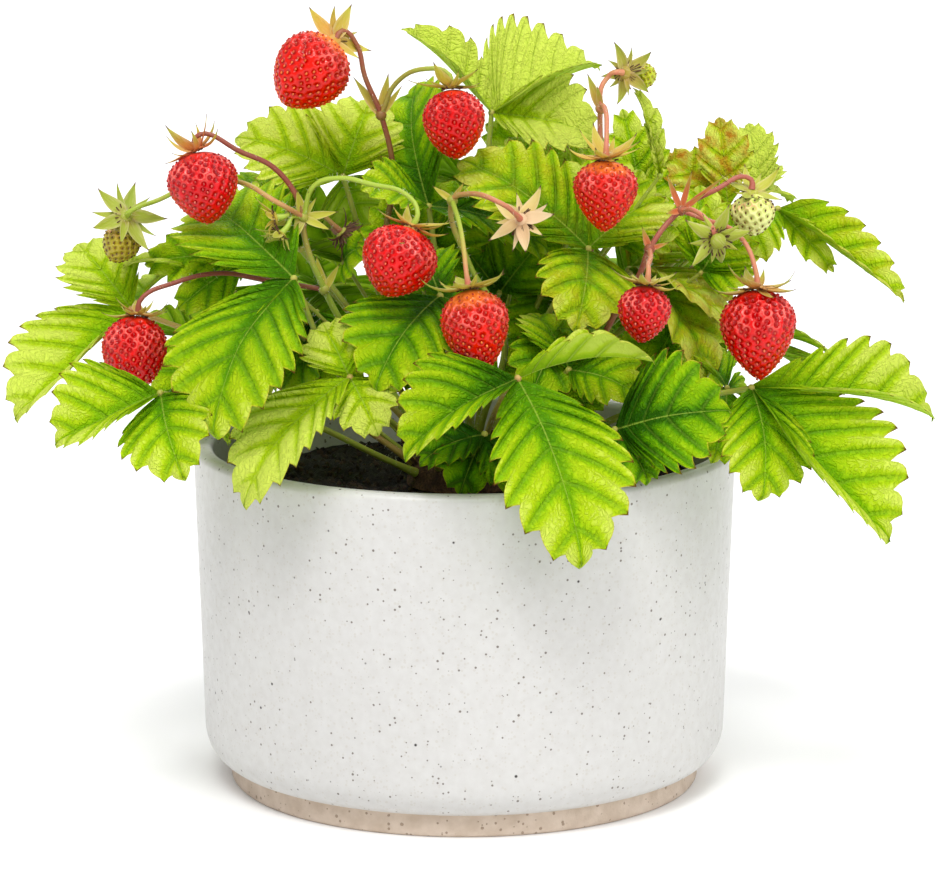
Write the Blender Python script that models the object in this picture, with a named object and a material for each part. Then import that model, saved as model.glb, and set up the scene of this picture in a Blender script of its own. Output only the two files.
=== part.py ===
"""Alpine strawberry plant in a glazed pot, in metres, +Z up, standing on z = 0.

The pot is one thick turned shell with a flat foot, and the potting soil fills it to just
under the rim. A low woody crown sits on the soil, and every leaf stalk and fruit stalk
grows from it. A leaf is one solid, its stalk and three leaflets together, because it
grew as one piece, and so is each branched fruit stalk. Berries and their calyxes are
pieces of their own. The plan of the plant below is in millimetres.
"""

import math
from typing import NamedTuple

import bmesh
import bpy
from mathutils import Matrix, Vector

MM = 0.001
SHARP_ANGLE = math.radians(40.0)
UP = Vector((0.0, 0.0, 1.0))
SEAT_GAP = 0.3 * MM
MERGE_DISTANCE = 0.001 * MM
NEAR = 0.01 * MM

# Pot: a straight-sided cylinder that tapers a little to a rounded bottom edge,
# stepping in to an unglazed foot.
RIM_RADIUS = 70.0 * MM
BOTTOM_RADIUS = 67.8 * MM
POT_HEIGHT = 88.5 * MM
WALL = 5.0 * MM
LIP_ROUND = 2.0 * MM
FOOT_RADIUS = 61.1 * MM
FOOT_HEIGHT = 6.0 * MM
HEEL_HEIGHT = 8.5 * MM
HEEL_STEP_IN = 0.5 * MM
HEEL_STEPS = 3
FOOT_EASE = 0.8 * MM
LIP_EASE = 0.3 * LIP_ROUND
FLOOR_THICKNESS = 9.0 * MM
FLOOR_CORNER = 4.0 * MM
POT_SEGMENTS = 44

# Soil: flat under the crown, crumbly out to the wall.
SOIL_TOP = 77.0 * MM
SOIL_SIDE_GAP = 0.6 * MM
SOIL_LOW_GAP = 0.7 * MM
SOIL_RADIUS = RIM_RADIUS - WALL - SOIL_SIDE_GAP
SOIL_LUMP = 1.6 * MM
LUMP_DROP = 0.3
LUMP_LENGTHS = (7.0 * MM, 6.0 * MM, 9.0 * MM)
LUMP_PHASE = 1.3
SOIL_SEGMENTS = 36
SOIL_RINGS = (16.0 * MM, 30.0 * MM, 44.0 * MM, 56.0 * MM)

# Crown: the short woody stock, a low dome.
CROWN_RADIUS = 15.0 * MM
CROWN_HEIGHT = 11.0 * MM
CROWN_SEGMENTS = 20
CROWN_RINGS = 4
CROWN_BASE = SOIL_TOP + SEAT_GAP
STALK_START = 0.4 * MM

# Plain colours, each with its roughness.
GLAZE = ((0.76, 0.76, 0.73), 0.3)
EARTH = ((0.03, 0.022, 0.016), 0.95)
BARK = ((0.13, 0.08, 0.04), 0.9)
LEAF = ((0.16, 0.36, 0.03), 0.55)
RIPE_BERRY = ((0.6, 0.02, 0.02), 0.25)
SEPAL = ((0.35, 0.4, 0.1), 0.6)
STALK = ((0.3, 0.22, 0.08), 0.6)

# Leaves.
BLADE_THICKNESS = 0.5 * MM
BLADE_STATIONS = (0.0, 0.2, 0.5, 0.82, 1.0)
BRACT_STATIONS = (0.0, 0.5, 1.0)
BLADE_WIDEST = 0.56
BLADE_FULLNESS = 0.72
BLADE_NECK = 0.8 * MM
BLADE_ARCH = 0.07
BLADE_FOLD = 0.2
BLADE_LEAN = 0.6
BLADE_START = 0.4 * MM
HUB_RADIUS = 1.3 * MM
STALK_RADIUS = 0.85 * MM
STALK_THINNING = 0.8
STALK_RISE = 7.0 * MM
STALK_BOW = 0.06
STALK_SIDES = 0
STALK_STEPS = 2

# Fruit stalks.
PEDUNCLE_RADIUS = 1.0 * MM
PEDICEL_RADIUS = 0.65 * MM
FORK_RADIUS = 1.5 * MM
PEDICEL_END = 0.9 * PEDICEL_RADIUS
PEDICEL_LEAD = 2.5 * MM
BRACT_LENGTH = 9.0 * MM
BRACT_WIDTH = 3.0 * MM
BRACT_FORWARD = 0.75
BRACT_SPREAD = 0.65

# Berries and calyxes.
BERRY_SEGMENTS = 10
BERRY_STATIONS = (0.05, 0.2, 0.42, 0.66, 0.87)
BERRY_BLUNT = (0.44, 2.0, 0.5)
BERRY_POINTED = (0.32, 1.5, 0.9)
CALYX_THICKNESS = 0.5 * MM
CALYX_ARMS = 10
CALYX_HEART = 0.34
CALYX_SHORT_ARM = 0.78


class Blade(NamedTuple):
    """A leaflet: where its tip is, how wide it is, and how far it rolls on its midrib."""

    tip: tuple
    width: float
    roll: float = 0.0


class Leaf(NamedTuple):
    """A leaf: where its stalk ends, its leaflets, and a bend its stalk passes through."""

    hub: tuple
    blades: tuple
    bend: tuple = ()


class Berry(NamedTuple):
    """A fruit: the middle of its shoulder, its apex, its width, and how pointed it is."""

    top: tuple
    apex: tuple
    width: float
    point: float = 0.5


class Star(NamedTuple):
    """A calyx: its radius and how far its arms curl back towards the stalk."""

    radius: float
    curl: float


LEAVES = {
    "leaf_left_big": Leaf(
        (-42, -40, 137),
        (Blade((-63, -64, 105), 32), Blade((-68, -7, 153), 27), Blade((-64, -36, 112), 20)),
        (-32, -30, 112),
    ),
    "leaf_far_left": Leaf(
        (-85, -8, 124),
        (Blade((-114, -22, 98), 26, -25), Blade((-103, 6, 136), 26), Blade((-71, 12, 133), 16)),
    ),
    "leaf_left_low": Leaf(
        (-75, -44, 109),
        (Blade((-98, -50, 97), 24, -20), Blade((-70, -64, 91), 24), Blade((-57, -40, 97), 16)),
    ),
    "leaf_front_left": Leaf(
        (-28, -50, 114),
        (Blade((-55, -68, 88), 25), Blade((-35, -44, 127), 16), Blade((-21, -60, 102), 14)),
    ),
    "leaf_centre_left": Leaf(
        (-6, -36, 132),
        (Blade((-27, -58, 120), 26), Blade((-11, -15, 140), 16), Blade((6, -22, 120), 14)),
    ),
    "leaf_front_fall": Leaf(
        (13, -62, 116),
        (Blade((-19, -72, 101), 20), Blade((29, -88, 77), 31), Blade((46, -58, 121), 16, -35)),
    ),
    "leaf_right_low": Leaf(
        (71, -42, 110),
        (Blade((74, -58, 86), 22), Blade((107, -46, 73), 22, 40), Blade((119, -22, 103), 22, 25)),
    ),
    "leaf_front_right": Leaf(
        (37, -50, 101),
        (Blade((64, -58, 108), 28, 40), Blade((23, -54, 99), 14), Blade((45, -60, 90), 14)),
    ),
    "leaf_centre_right": Leaf(
        (31, -24, 142),
        (Blade((28, -44, 126), 23), Blade((-1, -14, 164), 24, -15), Blade((51, -12, 155), 20)),
    ),
    "leaf_inner_right": Leaf(
        (26, -34, 113),
        (Blade((43, -44, 109), 18, 20), Blade((17, -20, 126), 18), Blade((42, -22, 104), 18)),
    ),
    "leaf_top": Leaf(
        (7, 12, 172),
        (Blade((-14, 14, 194), 26), Blade((32, 26, 185), 26, 45), Blade((34, 4, 167), 18, 20)),
    ),
    "leaf_upper_left": Leaf(
        (-31, 0, 157),
        (Blade((-61, 0, 167), 28, -35), Blade((-30, 10, 178), 22, 50), Blade((-24, 10, 140), 18)),
        (-20, 6, 120),
    ),
    "leaf_upper_middle": Leaf(
        (-9, -12, 151),
        (Blade((-14, 14, 181), 26), Blade((-25, -22, 158), 17, -20), Blade((22, -14, 142), 20)),
    ),
    "leaf_middle_back": Leaf(
        (28, -2, 144),
        (Blade((12, 8, 167), 24, -35), Blade((40, 12, 163), 18), Blade((24, 14, 138), 18)),
    ),
    "leaf_inner_front": Leaf(
        (5, -46, 99),
        (Blade((-1, -59, 87), 15), Blade((-11, -53, 94), 14), Blade((14, -56, 86), 14)),
    ),
    "leaf_right_middle": Leaf(
        (42, -6, 134),
        (Blade((66, -22, 124), 28), Blade((58, 8, 144), 18), Blade((62, -30, 112), 24)),
    ),
    "leaf_upper_right": Leaf(
        (62, 10, 148),
        (Blade((68, 18, 170), 22), Blade((44, 20, 165), 18, -40), Blade((74, 14, 138), 14)),
    ),
    "leaf_far_upper_right": Leaf(
        (78, 24, 150),
        (Blade((75, 32, 168), 20, 40), Blade((86, 32, 160), 16, 30), Blade((92, 36, 147), 14)),
    ),
    "leaf_far_right": Leaf(
        (80, -2, 149),
        (Blade((111, -14, 128), 22, 40), Blade((93, -6, 134), 12, 30), Blade((80, -20, 134), 14)),
    ),
    "leaf_inner_left": Leaf(
        (-42, 2, 138),
        (Blade((-59, 4, 158), 20), Blade((-43, 14, 157), 18), Blade((-31, 8, 134), 14)),
    ),
    "leaf_back_left": Leaf(
        (-50, 44, 122),
        (Blade((-74, 62, 102), 30), Blade((-68, 32, 140), 26), Blade((-32, 66, 118), 24)),
    ),
    "leaf_back": Leaf(
        (-10, 60, 118),
        (Blade((-14, 90, 92), 32), Blade((-38, 72, 110), 24), Blade((18, 74, 114), 24)),
    ),
    "leaf_back_right": Leaf(
        (42, 48, 124),
        (Blade((64, 70, 102), 30), Blade((62, 30, 140), 24), Blade((24, 70, 130), 22)),
    ),
    "leaf_back_high": Leaf(
        (4, 34, 150),
        (Blade((-2, 66, 140), 32), Blade((-28, 44, 158), 28), Blade((34, 50, 154), 28)),
    ),
    "leaf_back_far_left": Leaf(
        (-70, 26, 110),
        (Blade((-98, 38, 90), 28), Blade((-92, 12, 116), 22), Blade((-62, 50, 106), 20)),
    ),
    "leaf_back_far_right": Leaf(
        (72, 24, 112),
        (Blade((100, 34, 90), 28), Blade((100, 10, 116), 22), Blade((66, 48, 106), 20)),
    ),
}

BERRIES = {
    "berry_01": Berry((-32.3, -15, 193), (-44.4, -22, 178.2), 18.7, 0.35),
    "berry_02": Berry((-66.1, -30, 167.1), (-63, -32, 149.4), 17.4, 0.45),
    "berry_03": Berry((-81.4, -30, 126), (-83.4, -31, 105.9), 16.3, 0.5),
    "berry_04": Berry((-12.7, -46, 150.5), (-19.6, -48, 134), 18.7, 0.35),
    "berry_05": Berry((-3.3, -21, 181.6), (-1.8, -23, 164.4), 16.0, 0.4),
    "berry_06": Berry((1.2, -55, 136.6), (4.6, -57, 115.7), 16.8, 0.7),
    "berry_07": Berry((34.8, -38, 166.1), (34.4, -39, 148.4), 16.0, 0.6),
    "berry_08": Berry((44.6, -50, 136.8), (43.2, -51, 122.8), 13.2, 0.5),
    "berry_09": Berry((72.1, -42, 134.5), (73, -43, 111.9), 18.9, 0.75),
    "berry_10": Berry((-84.8, -12, 146), (-89.1, -14, 137.1), 9.7, 0.3),
    "berry_11": Berry((71.7, -25, 156), (72.2, -27, 145.7), 11.3, 0.3),
    "berry_12": Berry((42, -18.5, 185), (48, -16, 184.5), 6.8, 0.3),
}

# Calyxes left by fruit that has gone: the middle, and the way they face the stalk.
BARE_CALYXES = {
    "calyx_13": ((14.0, -36.0, 151.0), (-0.35, -0.8, 0.5)),
    "calyx_14": ((62.0, -40.0, 147.0), (-0.35, -0.3, 0.86)),
}
STAR = Star(9.5, 0.28)
STARS = {
    "calyx_01": Star(11.0, 0.3),
    "calyx_02": Star(9.5, 0.5),
    "calyx_03": Star(9.0, 0.35),
    "calyx_04": Star(9.0, 0.35),
    "calyx_06": Star(10.5, 0.12),
    "calyx_08": Star(8.5, 0.3),
    "calyx_10": Star(9.0, 0.12),
    "calyx_11": Star(7.5, 0.1),
    "calyx_12": Star(8.0, 0.25),
    "calyx_13": Star(10.0, 0.05),
    "calyx_14": Star(9.0, -0.1),
}


class Branch(NamedTuple):
    """A run of fruit stalk: its points, the calyx at its end, and its radius."""

    points: tuple
    calyx: str
    radius: float = PEDICEL_RADIUS


FRUIT_STALKS = {
    "fruit_stalk_top": (
        Branch(
            ((-20, -4, 140), (-18, -7, 158), (-21, -10, 174), (-25, -12, 184), (-27, -12.5, 192)),
            "calyx_01",
            PEDUNCLE_RADIUS,
        ),
        Branch(((-21, -10, 174), (-16, -14, 182), (-9, -19, 185)), "calyx_05"),
    ),
    "fruit_stalk_left": (
        Branch(
            (
                (-27, -18, 116),
                (-35, -26, 132),
                (-40, -28, 147),
                (-40, -28, 150.5),
                (-46, -29, 162),
                (-55, -30, 167),
            ),
            "calyx_02",
            PEDUNCLE_RADIUS,
        ),
        Branch(
            ((-40, -28, 150.5), (-46, -34, 155), (-57, -24, 159), (-69, -17, 157), (-77, -14, 153)),
            "calyx_10",
        ),
        Branch(
            ((-40, -28, 150.5), (-37, -31, 159), (-31, -33, 161), (-23, -37, 160), (-14, -42, 158)),
            "calyx_04",
        ),
        Branch(((-35, -26, 132), (-50, -23, 134), (-61, -25, 136), (-72, -27, 134)), "calyx_03"),
    ),
    "fruit_stalk_centre": (
        Branch(
            ((10, -22, 121), (1, -26, 139), (-3, -30, 155), (0, -33, 157), (9, -42, 156)),
            "calyx_13",
            PEDUNCLE_RADIUS,
        ),
        Branch(((-3, -30, 155), (-1, -42, 150), (0, -50, 145)), "calyx_06"),
    ),
    "fruit_stalk_right": (
        Branch(
            (
                (32, -12, 140),
                (33, -14, 153),
                (34, -18, 166),
                (34, -22, 177),
                (35, -30, 177),
                (35, -36, 172),
            ),
            "calyx_07",
            PEDUNCLE_RADIUS,
        ),
        Branch(((34, -22, 177), (34, -22, 182), (36, -21, 185)), "calyx_12"),
    ),
    "fruit_stalk_far_right": (
        Branch(
            (
                (31, -18, 110),
                (37, -24, 124),
                (44, -29, 137),
                (46, -31, 143),
                (54, -26, 152),
                (62, -27, 157),
            ),
            "calyx_11",
            PEDUNCLE_RADIUS,
        ),
        Branch(((46, -31, 143), (46, -38, 142), (45, -46, 141)), "calyx_08"),
        Branch(((54, -26, 152), (60, -28, 150), (68, -36, 147)), "calyx_09"),
        Branch(((54, -26, 152), (57, -34, 153)), "calyx_14"),
    ),
}


def clear_scene():
    """Removes the objects that a new file starts with."""
    for obj in list(bpy.data.objects):
        bpy.data.objects.remove(obj, do_unlink=True)


def principled(name, finish):
    """A plain material of one colour and roughness."""
    colour, roughness = finish
    material = bpy.data.materials.new(name)
    material.use_nodes = True
    shader = material.node_tree.nodes["Principled BSDF"]
    shader.inputs["Base Color"].default_value = (*colour, 1.0)
    shader.inputs["Roughness"].default_value = roughness
    material.diffuse_color = (*colour, 1.0)
    return material


def add_object(name, mesh, finish):
    """Puts a mesh in the scene with its material and its smooth and sharp edges."""
    mesh.materials.clear()
    mesh.materials.append(principled(name, finish))
    mesh.shade_smooth()
    mesh.set_sharp_from_angle(angle=SHARP_ANGLE)
    obj = bpy.data.objects.new(name, mesh)
    bpy.context.scene.collection.objects.link(obj)
    return obj


def finished(bm, name):
    """A mesh from a bmesh whose doubles are merged and whose faces point out."""
    bmesh.ops.remove_doubles(bm, verts=bm.verts, dist=MERGE_DISTANCE)
    bmesh.ops.recalc_face_normals(bm, faces=bm.faces)
    mesh = bpy.data.meshes.new(name)
    bm.to_mesh(mesh)
    bm.free()
    return mesh


def turned(name, profile, segments):
    """A solid of revolution about Z; the profile runs from axis to axis."""
    bm = bmesh.new()
    verts = [bm.verts.new((radius, 0.0, height)) for radius, height in profile]
    edges = [bm.edges.new(pair) for pair in zip(verts, verts[1:])]
    bmesh.ops.spin(
        bm,
        geom=verts + edges,
        axis=UP,
        cent=(0.0, 0.0, 0.0),
        steps=segments,
        angle=2.0 * math.pi,
    )
    return finished(bm, name)


def arc(steps):
    """Angles of a quarter turn, both ends included."""
    return [0.5 * math.pi * step / steps for step in range(steps + 1)]


def make_pot():
    """The pot: one turned shell with a solid floor."""
    heel_start = FOOT_RADIUS + HEEL_STEP_IN
    heel_width = BOTTOM_RADIUS - heel_start
    inner_bottom = BOTTOM_RADIUS - WALL
    outside = [
        (0.0, 0.0),
        (FOOT_RADIUS - FOOT_EASE, 0.0),
        (FOOT_RADIUS, FOOT_EASE),
        (FOOT_RADIUS, FOOT_HEIGHT),
    ]
    heel = [
        (heel_start + heel_width * math.sin(a), FOOT_HEIGHT + HEEL_HEIGHT * (1.0 - math.cos(a)))
        for a in arc(HEEL_STEPS)
    ]
    lip = [
        (RIM_RADIUS, POT_HEIGHT - LIP_ROUND),
        (RIM_RADIUS - LIP_EASE, POT_HEIGHT - LIP_EASE),
        (RIM_RADIUS - LIP_ROUND, POT_HEIGHT),
        (RIM_RADIUS - WALL + LIP_ROUND, POT_HEIGHT),
        (RIM_RADIUS - WALL + LIP_EASE, POT_HEIGHT - LIP_EASE),
        (RIM_RADIUS - WALL, POT_HEIGHT - LIP_ROUND),
    ]
    inside = [
        (inner_bottom, FLOOR_THICKNESS + FLOOR_CORNER),
        (inner_bottom - FLOOR_CORNER, FLOOR_THICKNESS),
        (0.0, FLOOR_THICKNESS),
    ]
    mesh = turned("pot", outside + heel + lip + inside, POT_SEGMENTS)
    return add_object("pot", mesh, GLAZE)


def crumble(x, y):
    """Height of the soil's lumps at a point, between -1 and 1."""
    first, second, slant = LUMP_LENGTHS
    crossed = math.sin(x / first + LUMP_PHASE) * math.cos(y / second)
    return 0.5 * (crossed + math.sin((x + 2.0 * y) / slant))


def make_soil():
    """The potting soil, from the pot's floor to just under its rim."""
    floor = FLOOR_THICKNESS + SEAT_GAP
    bottom_radius = BOTTOM_RADIUS - WALL - SOIL_LOW_GAP
    shoulder = SOIL_TOP - SOIL_LUMP
    profile = [(0.0, floor), (bottom_radius - FLOOR_CORNER, floor)]
    profile += [(bottom_radius, floor + FLOOR_CORNER), (SOIL_RADIUS, shoulder)]
    profile += [(radius, SOIL_TOP) for radius in reversed(SOIL_RINGS)]
    profile += [(0.0, SOIL_TOP)]
    mesh = turned("soil", profile, SOIL_SEGMENTS)
    for vert in mesh.vertices:
        radius = math.hypot(vert.co.x, vert.co.y)
        if vert.co.z > shoulder - NEAR and radius > SOIL_RINGS[0] + NEAR:
            vert.co.z += SOIL_LUMP * (crumble(vert.co.x, vert.co.y) - LUMP_DROP)
    return add_object("soil", mesh, EARTH)


def make_crown():
    """The woody crown, a low dome on the soil."""
    profile = [(0.0, CROWN_BASE)]
    profile += [
        (CROWN_RADIUS * math.cos(a), CROWN_BASE + CROWN_HEIGHT * math.sin(a)) for a in arc(CROWN_RINGS)
    ]
    mesh = turned("crown", profile, CROWN_SEGMENTS)
    return add_object("crown", mesh, BARK)


def crown_seat(target):
    """Where a stalk that heads for a point leaves the crown, and the way out there."""
    rise = Vector(target) - Vector((0.0, 0.0, CROWN_BASE))
    around = math.atan2(rise.y, rise.x)
    above = math.atan2(rise.z, math.hypot(rise.x, rise.y))
    flat = CROWN_RADIUS * math.cos(above)
    point = Vector((flat * math.cos(around), flat * math.sin(around), CROWN_HEIGHT * math.sin(above)))
    sides = CROWN_RADIUS**2
    out = Vector((point.x / sides, point.y / sides, point.z / CROWN_HEIGHT**2)).normalized()
    return point + Vector((0.0, 0.0, CROWN_BASE)) + out * STALK_START, out


def tube(points, radii):
    """A closed tube along a smooth curve through points, with its radius at each."""
    curve = bpy.data.curves.new("tube", "CURVE")
    curve.dimensions = "3D"
    curve.resolution_u = STALK_STEPS
    curve.bevel_depth = 1.0
    curve.bevel_resolution = STALK_SIDES
    curve.use_fill_caps = True
    spline = curve.splines.new("BEZIER")
    spline.bezier_points.add(len(points) - 1)
    for knot, point, radius in zip(spline.bezier_points, points, radii):
        knot.co = point
        knot.radius = radius
        knot.handle_left_type = "AUTO"
        knot.handle_right_type = "AUTO"
    holder = bpy.data.objects.new("tube", curve)
    bpy.context.scene.collection.objects.link(holder)
    graph = bpy.context.evaluated_depsgraph_get()
    raw = bpy.data.meshes.new_from_object(holder.evaluated_get(graph))
    bpy.data.objects.remove(holder, do_unlink=True)
    bm = bmesh.new()
    bm.from_mesh(raw)
    return finished(bm, "tube")


def ball(centre, radius):
    """A small faceted ball."""
    bm = bmesh.new()
    bmesh.ops.create_icosphere(bm, subdivisions=1, radius=radius, matrix=Matrix.Translation(centre))
    return finished(bm, "ball")


def blade_normal(middle, axis, roll):
    """A leaflet's upward face: up and away from the plant's axis, then rolled on the midrib."""
    away = Vector((middle.x, middle.y, 0.0)).normalized()
    lean = UP + BLADE_LEAN * away
    normal = (lean - axis * lean.dot(axis)).normalized()
    return Matrix.Rotation(math.radians(roll), 3, axis) @ normal


def blade_mesh(hub, blade, stations=BLADE_STATIONS):
    """A leaflet as a closed arched sheet, folded a little along its midrib."""
    tip = Vector(blade.tip) * MM
    axis = (tip - hub).normalized()
    base = hub + axis * BLADE_START
    length = (tip - base).length
    normal = blade_normal(0.5 * (hub + tip), axis, blade.roll)
    side = normal.cross(axis)
    half_thick = normal * 0.5 * BLADE_THICKNESS
    shift = math.log(0.5) / math.log(BLADE_WIDEST)
    bm = bmesh.new()
    rings = []
    for t in stations:
        fullness = math.sin(math.pi * t**shift) ** BLADE_FULLNESS if 0.0 < t < 1.0 else 0.0
        half = max(0.5 * blade.width * MM * fullness, BLADE_NECK)
        middle = base + axis * (length * t) + normal * (BLADE_ARCH * length * 4.0 * t * (1.0 - t))
        edge = middle + normal * (BLADE_FOLD * (half - BLADE_NECK))
        left, right = edge - side * half, edge + side * half
        ring = [left + half_thick, middle + half_thick, right + half_thick]
        ring += [right - half_thick, middle - half_thick, left - half_thick]
        rings.append([bm.verts.new(point) for point in ring])
    for first, second in zip(rings, rings[1:]):
        for i in range(6):
            j = (i + 1) % 6
            bm.faces.new((first[i], first[j], second[j], second[i]))
    bm.faces.new(rings[0])
    bm.faces.new(rings[-1])
    return finished(bm, "blade")


def united(holders, solver):
    """The union of closed objects as a mesh, by one of the Boolean solvers."""
    body = holders[0]
    for other in holders[1:]:
        join = body.modifiers.new("join", "BOOLEAN")
        join.operation = "UNION"
        join.solver = solver
        join.object = other
    graph = bpy.context.evaluated_depsgraph_get()
    mesh = bpy.data.meshes.new_from_object(body.evaluated_get(graph))
    body.modifiers.clear()
    return mesh


def fused(name, meshes):
    """The union of closed meshes; the second solver is for where the first fails."""
    holders = [bpy.data.objects.new(name, mesh) for mesh in meshes]
    for holder in holders:
        bpy.context.scene.collection.objects.link(holder)
    mesh = united(holders, "EXACT")
    if len(mesh.polygons) < max(len(piece.polygons) for piece in meshes):
        mesh = united(holders, "MANIFOLD")
    for holder in holders:
        bpy.data.objects.remove(holder, do_unlink=True)
    mesh.name = name
    return mesh


def tapered(count, start, end):
    """Numbers that go evenly from one to another."""
    return [start + (end - start) * i / (count - 1) for i in range(count)]


def leaf_stalk(leaf):
    """A leaf's stalk, from the crown to its hub."""
    hub = Vector(leaf.hub) * MM
    aim = Vector(leaf.bend) * MM if leaf.bend else hub
    start, out = crown_seat(aim)
    rise = start + out * STALK_RISE
    if leaf.bend:
        middle = aim
    else:
        middle = 0.5 * (rise + hub) + UP * STALK_BOW * (hub - rise).length
    points = [start, rise, middle, hub]
    return tube(points, tapered(len(points), STALK_RADIUS, STALK_THINNING * STALK_RADIUS))


def make_leaf(name, leaf):
    """A leaf: its stalk, its hub and its three leaflets in one solid."""
    hub = Vector(leaf.hub) * MM
    meshes = [leaf_stalk(leaf), ball(hub, HUB_RADIUS)]
    meshes += [blade_mesh(hub, blade) for blade in leaf.blades]
    return add_object(name, fused(name, meshes), LEAF)


def berry_frame(berry):
    """The middle of a berry's shoulder and the direction from its apex to there."""
    top = Vector(berry.top) * MM
    return top, (top - Vector(berry.apex) * MM).normalized()


def make_berry(name, berry):
    """A berry: a plump turned cone between a blunt shape and a pointed one."""
    top, up = berry_frame(berry)
    length = (top - Vector(berry.apex) * MM).length
    shapes = zip(BERRY_BLUNT, BERRY_POINTED)
    widest, taper, power = (blunt + (sharp - blunt) * berry.point for blunt, sharp in shapes)
    profile = [(0.0, 0.0)]
    for t in BERRY_STATIONS:
        if t < widest:
            fullness = math.sqrt(1.0 - ((widest - t) / widest) ** 2)
        else:
            fullness = (1.0 - ((t - widest) / (1.0 - widest)) ** taper) ** power
        profile.append((0.5 * berry.width * MM * fullness, -t * length))
    profile.append((0.0, -length))
    mesh = turned(name, profile, BERRY_SEGMENTS)
    mesh.transform(Matrix.Translation(top) @ up.to_track_quat("Z", "Y").to_matrix().to_4x4())
    return add_object(name, mesh, RIPE_BERRY)


def calyx_seat(name):
    """The middle of a calyx's lower face and the direction from it to the stalk."""
    if name in BARE_CALYXES:
        centre, up = BARE_CALYXES[name]
        return Vector(centre) * MM, Vector(up).normalized()
    top, up = berry_frame(BERRIES[name.replace("calyx", "berry")])
    return top + up * SEAT_GAP, up


def make_calyx(name):
    """A calyx: a flat star of long and short arms that curl to the stalk."""
    seat, up = calyx_seat(name)
    star = STARS.get(name, STAR)
    bm = bmesh.new()
    layers = []
    for lift in (0.0, CALYX_THICKNESS):
        middle = bm.verts.new((0.0, 0.0, lift))
        outline = []
        for k in range(2 * CALYX_ARMS):
            angle = math.pi * k / CALYX_ARMS
            reach = CALYX_HEART if k % 2 else (1.0, CALYX_SHORT_ARM)[k // 2 % 2]
            radius = star.radius * MM * reach
            height = lift + star.curl * star.radius * MM * reach**2
            outline.append(bm.verts.new((radius * math.cos(angle), radius * math.sin(angle), height)))
        layers.append(outline)
        for a, b in zip(outline, outline[1:] + outline[:1]):
            bm.faces.new((middle, a, b))
    for k in range(2 * CALYX_ARMS):
        j = (k + 1) % (2 * CALYX_ARMS)
        bm.faces.new((layers[0][k], layers[0][j], layers[1][j], layers[1][k]))
    mesh = finished(bm, name)
    mesh.transform(Matrix.Translation(seat) @ up.to_track_quat("Z", "Y").to_matrix().to_4x4())
    return add_object(name, mesh, SEPAL)


def branch_mesh(branch, from_crown):
    """One run of a fruit stalk, from the crown or a fork to its calyx."""
    seat, up = calyx_seat(branch.calyx)
    points = [Vector(point) * MM for point in branch.points]
    if from_crown:
        start, out = crown_seat(points[0])
        points = [start, start + out * STALK_RISE] + points
    end = seat + up * (CALYX_THICKNESS + SEAT_GAP)
    points += [end + up * PEDICEL_LEAD, end]
    return tube(points, tapered(len(points), branch.radius, PEDICEL_END))


def bract_meshes(fork, before):
    """Two small scales that spread from a fork."""
    along = (fork - before).normalized()
    across = along.cross(Vector((0.0, 1.0, 0.0))).normalized()
    meshes = []
    for turn in (-BRACT_SPREAD, BRACT_SPREAD):
        tip = fork + (BRACT_FORWARD * along + turn * across) * BRACT_LENGTH
        bract = Blade(tuple(tip / MM), BRACT_WIDTH / MM)
        meshes.append(blade_mesh(fork, bract, BRACT_STATIONS))
    return meshes


def make_fruit_stalk(name, branches):
    """A branched fruit stalk in one solid, with a knob and two bracts at each fork."""
    meshes = [branch_mesh(branches[0], True)]
    forks = []
    for branch in branches[1:]:
        meshes.append(branch_mesh(branch, False))
        if branch.points[0] not in forks:
            forks.append(branch.points[0])
    for fork in forks:
        before = branches[0].points[branches[0].points.index(fork) - 1]
        fork_point = Vector(fork) * MM
        meshes.append(ball(fork_point, FORK_RADIUS))
        meshes += bract_meshes(fork_point, Vector(before) * MM)
    mesh = fused(name, meshes) if len(meshes) > 1 else meshes[0]
    return add_object(name, mesh, STALK)


def main():
    """Builds every piece."""
    clear_scene()
    make_pot()
    make_soil()
    make_crown()
    for name, leaf in LEAVES.items():
        make_leaf(name, leaf)
    for name, branches in FRUIT_STALKS.items():
        make_fruit_stalk(name, branches)
    for name, berry in BERRIES.items():
        make_berry(name, berry)
    for name in [berry.replace("berry", "calyx") for berry in BERRIES] + list(BARE_CALYXES):
        make_calyx(name)


main()
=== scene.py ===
"""Looks of a potted alpine strawberry: speckled pot, soil, crown, leaves, fruit stalks and fruit.

A piece that shares its name with a construction node stands for that node. The plan of the plant is in
millimetres; meshes are cast in metres. A surface carries three vector attributes that the
finishes read: "shape" says where on its organ a point is, "flat" is its place on the organ
laid flat, in millimetres, and "look" holds what differs from one organ to the next.
"""

import logging
import math
from collections.abc import Sequence
from dataclasses import dataclass
from enum import Enum

import bpy
import numpy as np
from bpy.types import ID, Material, Node, NodeSocket, NodeTree, Object
from mathutils import Matrix


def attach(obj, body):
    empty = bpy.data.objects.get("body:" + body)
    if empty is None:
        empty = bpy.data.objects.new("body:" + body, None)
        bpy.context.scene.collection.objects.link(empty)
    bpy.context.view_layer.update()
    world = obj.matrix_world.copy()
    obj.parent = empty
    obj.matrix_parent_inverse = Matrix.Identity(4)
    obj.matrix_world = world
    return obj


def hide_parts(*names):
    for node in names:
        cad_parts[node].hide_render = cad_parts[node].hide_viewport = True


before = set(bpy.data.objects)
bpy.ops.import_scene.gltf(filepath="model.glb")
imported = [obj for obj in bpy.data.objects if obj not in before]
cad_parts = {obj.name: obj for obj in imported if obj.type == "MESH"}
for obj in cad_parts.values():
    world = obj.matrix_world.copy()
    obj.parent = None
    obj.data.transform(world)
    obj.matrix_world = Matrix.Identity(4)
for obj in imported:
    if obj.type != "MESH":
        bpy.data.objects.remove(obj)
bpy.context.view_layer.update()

LOG = logging.getLogger("strawberry")
Array = np.ndarray
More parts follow.
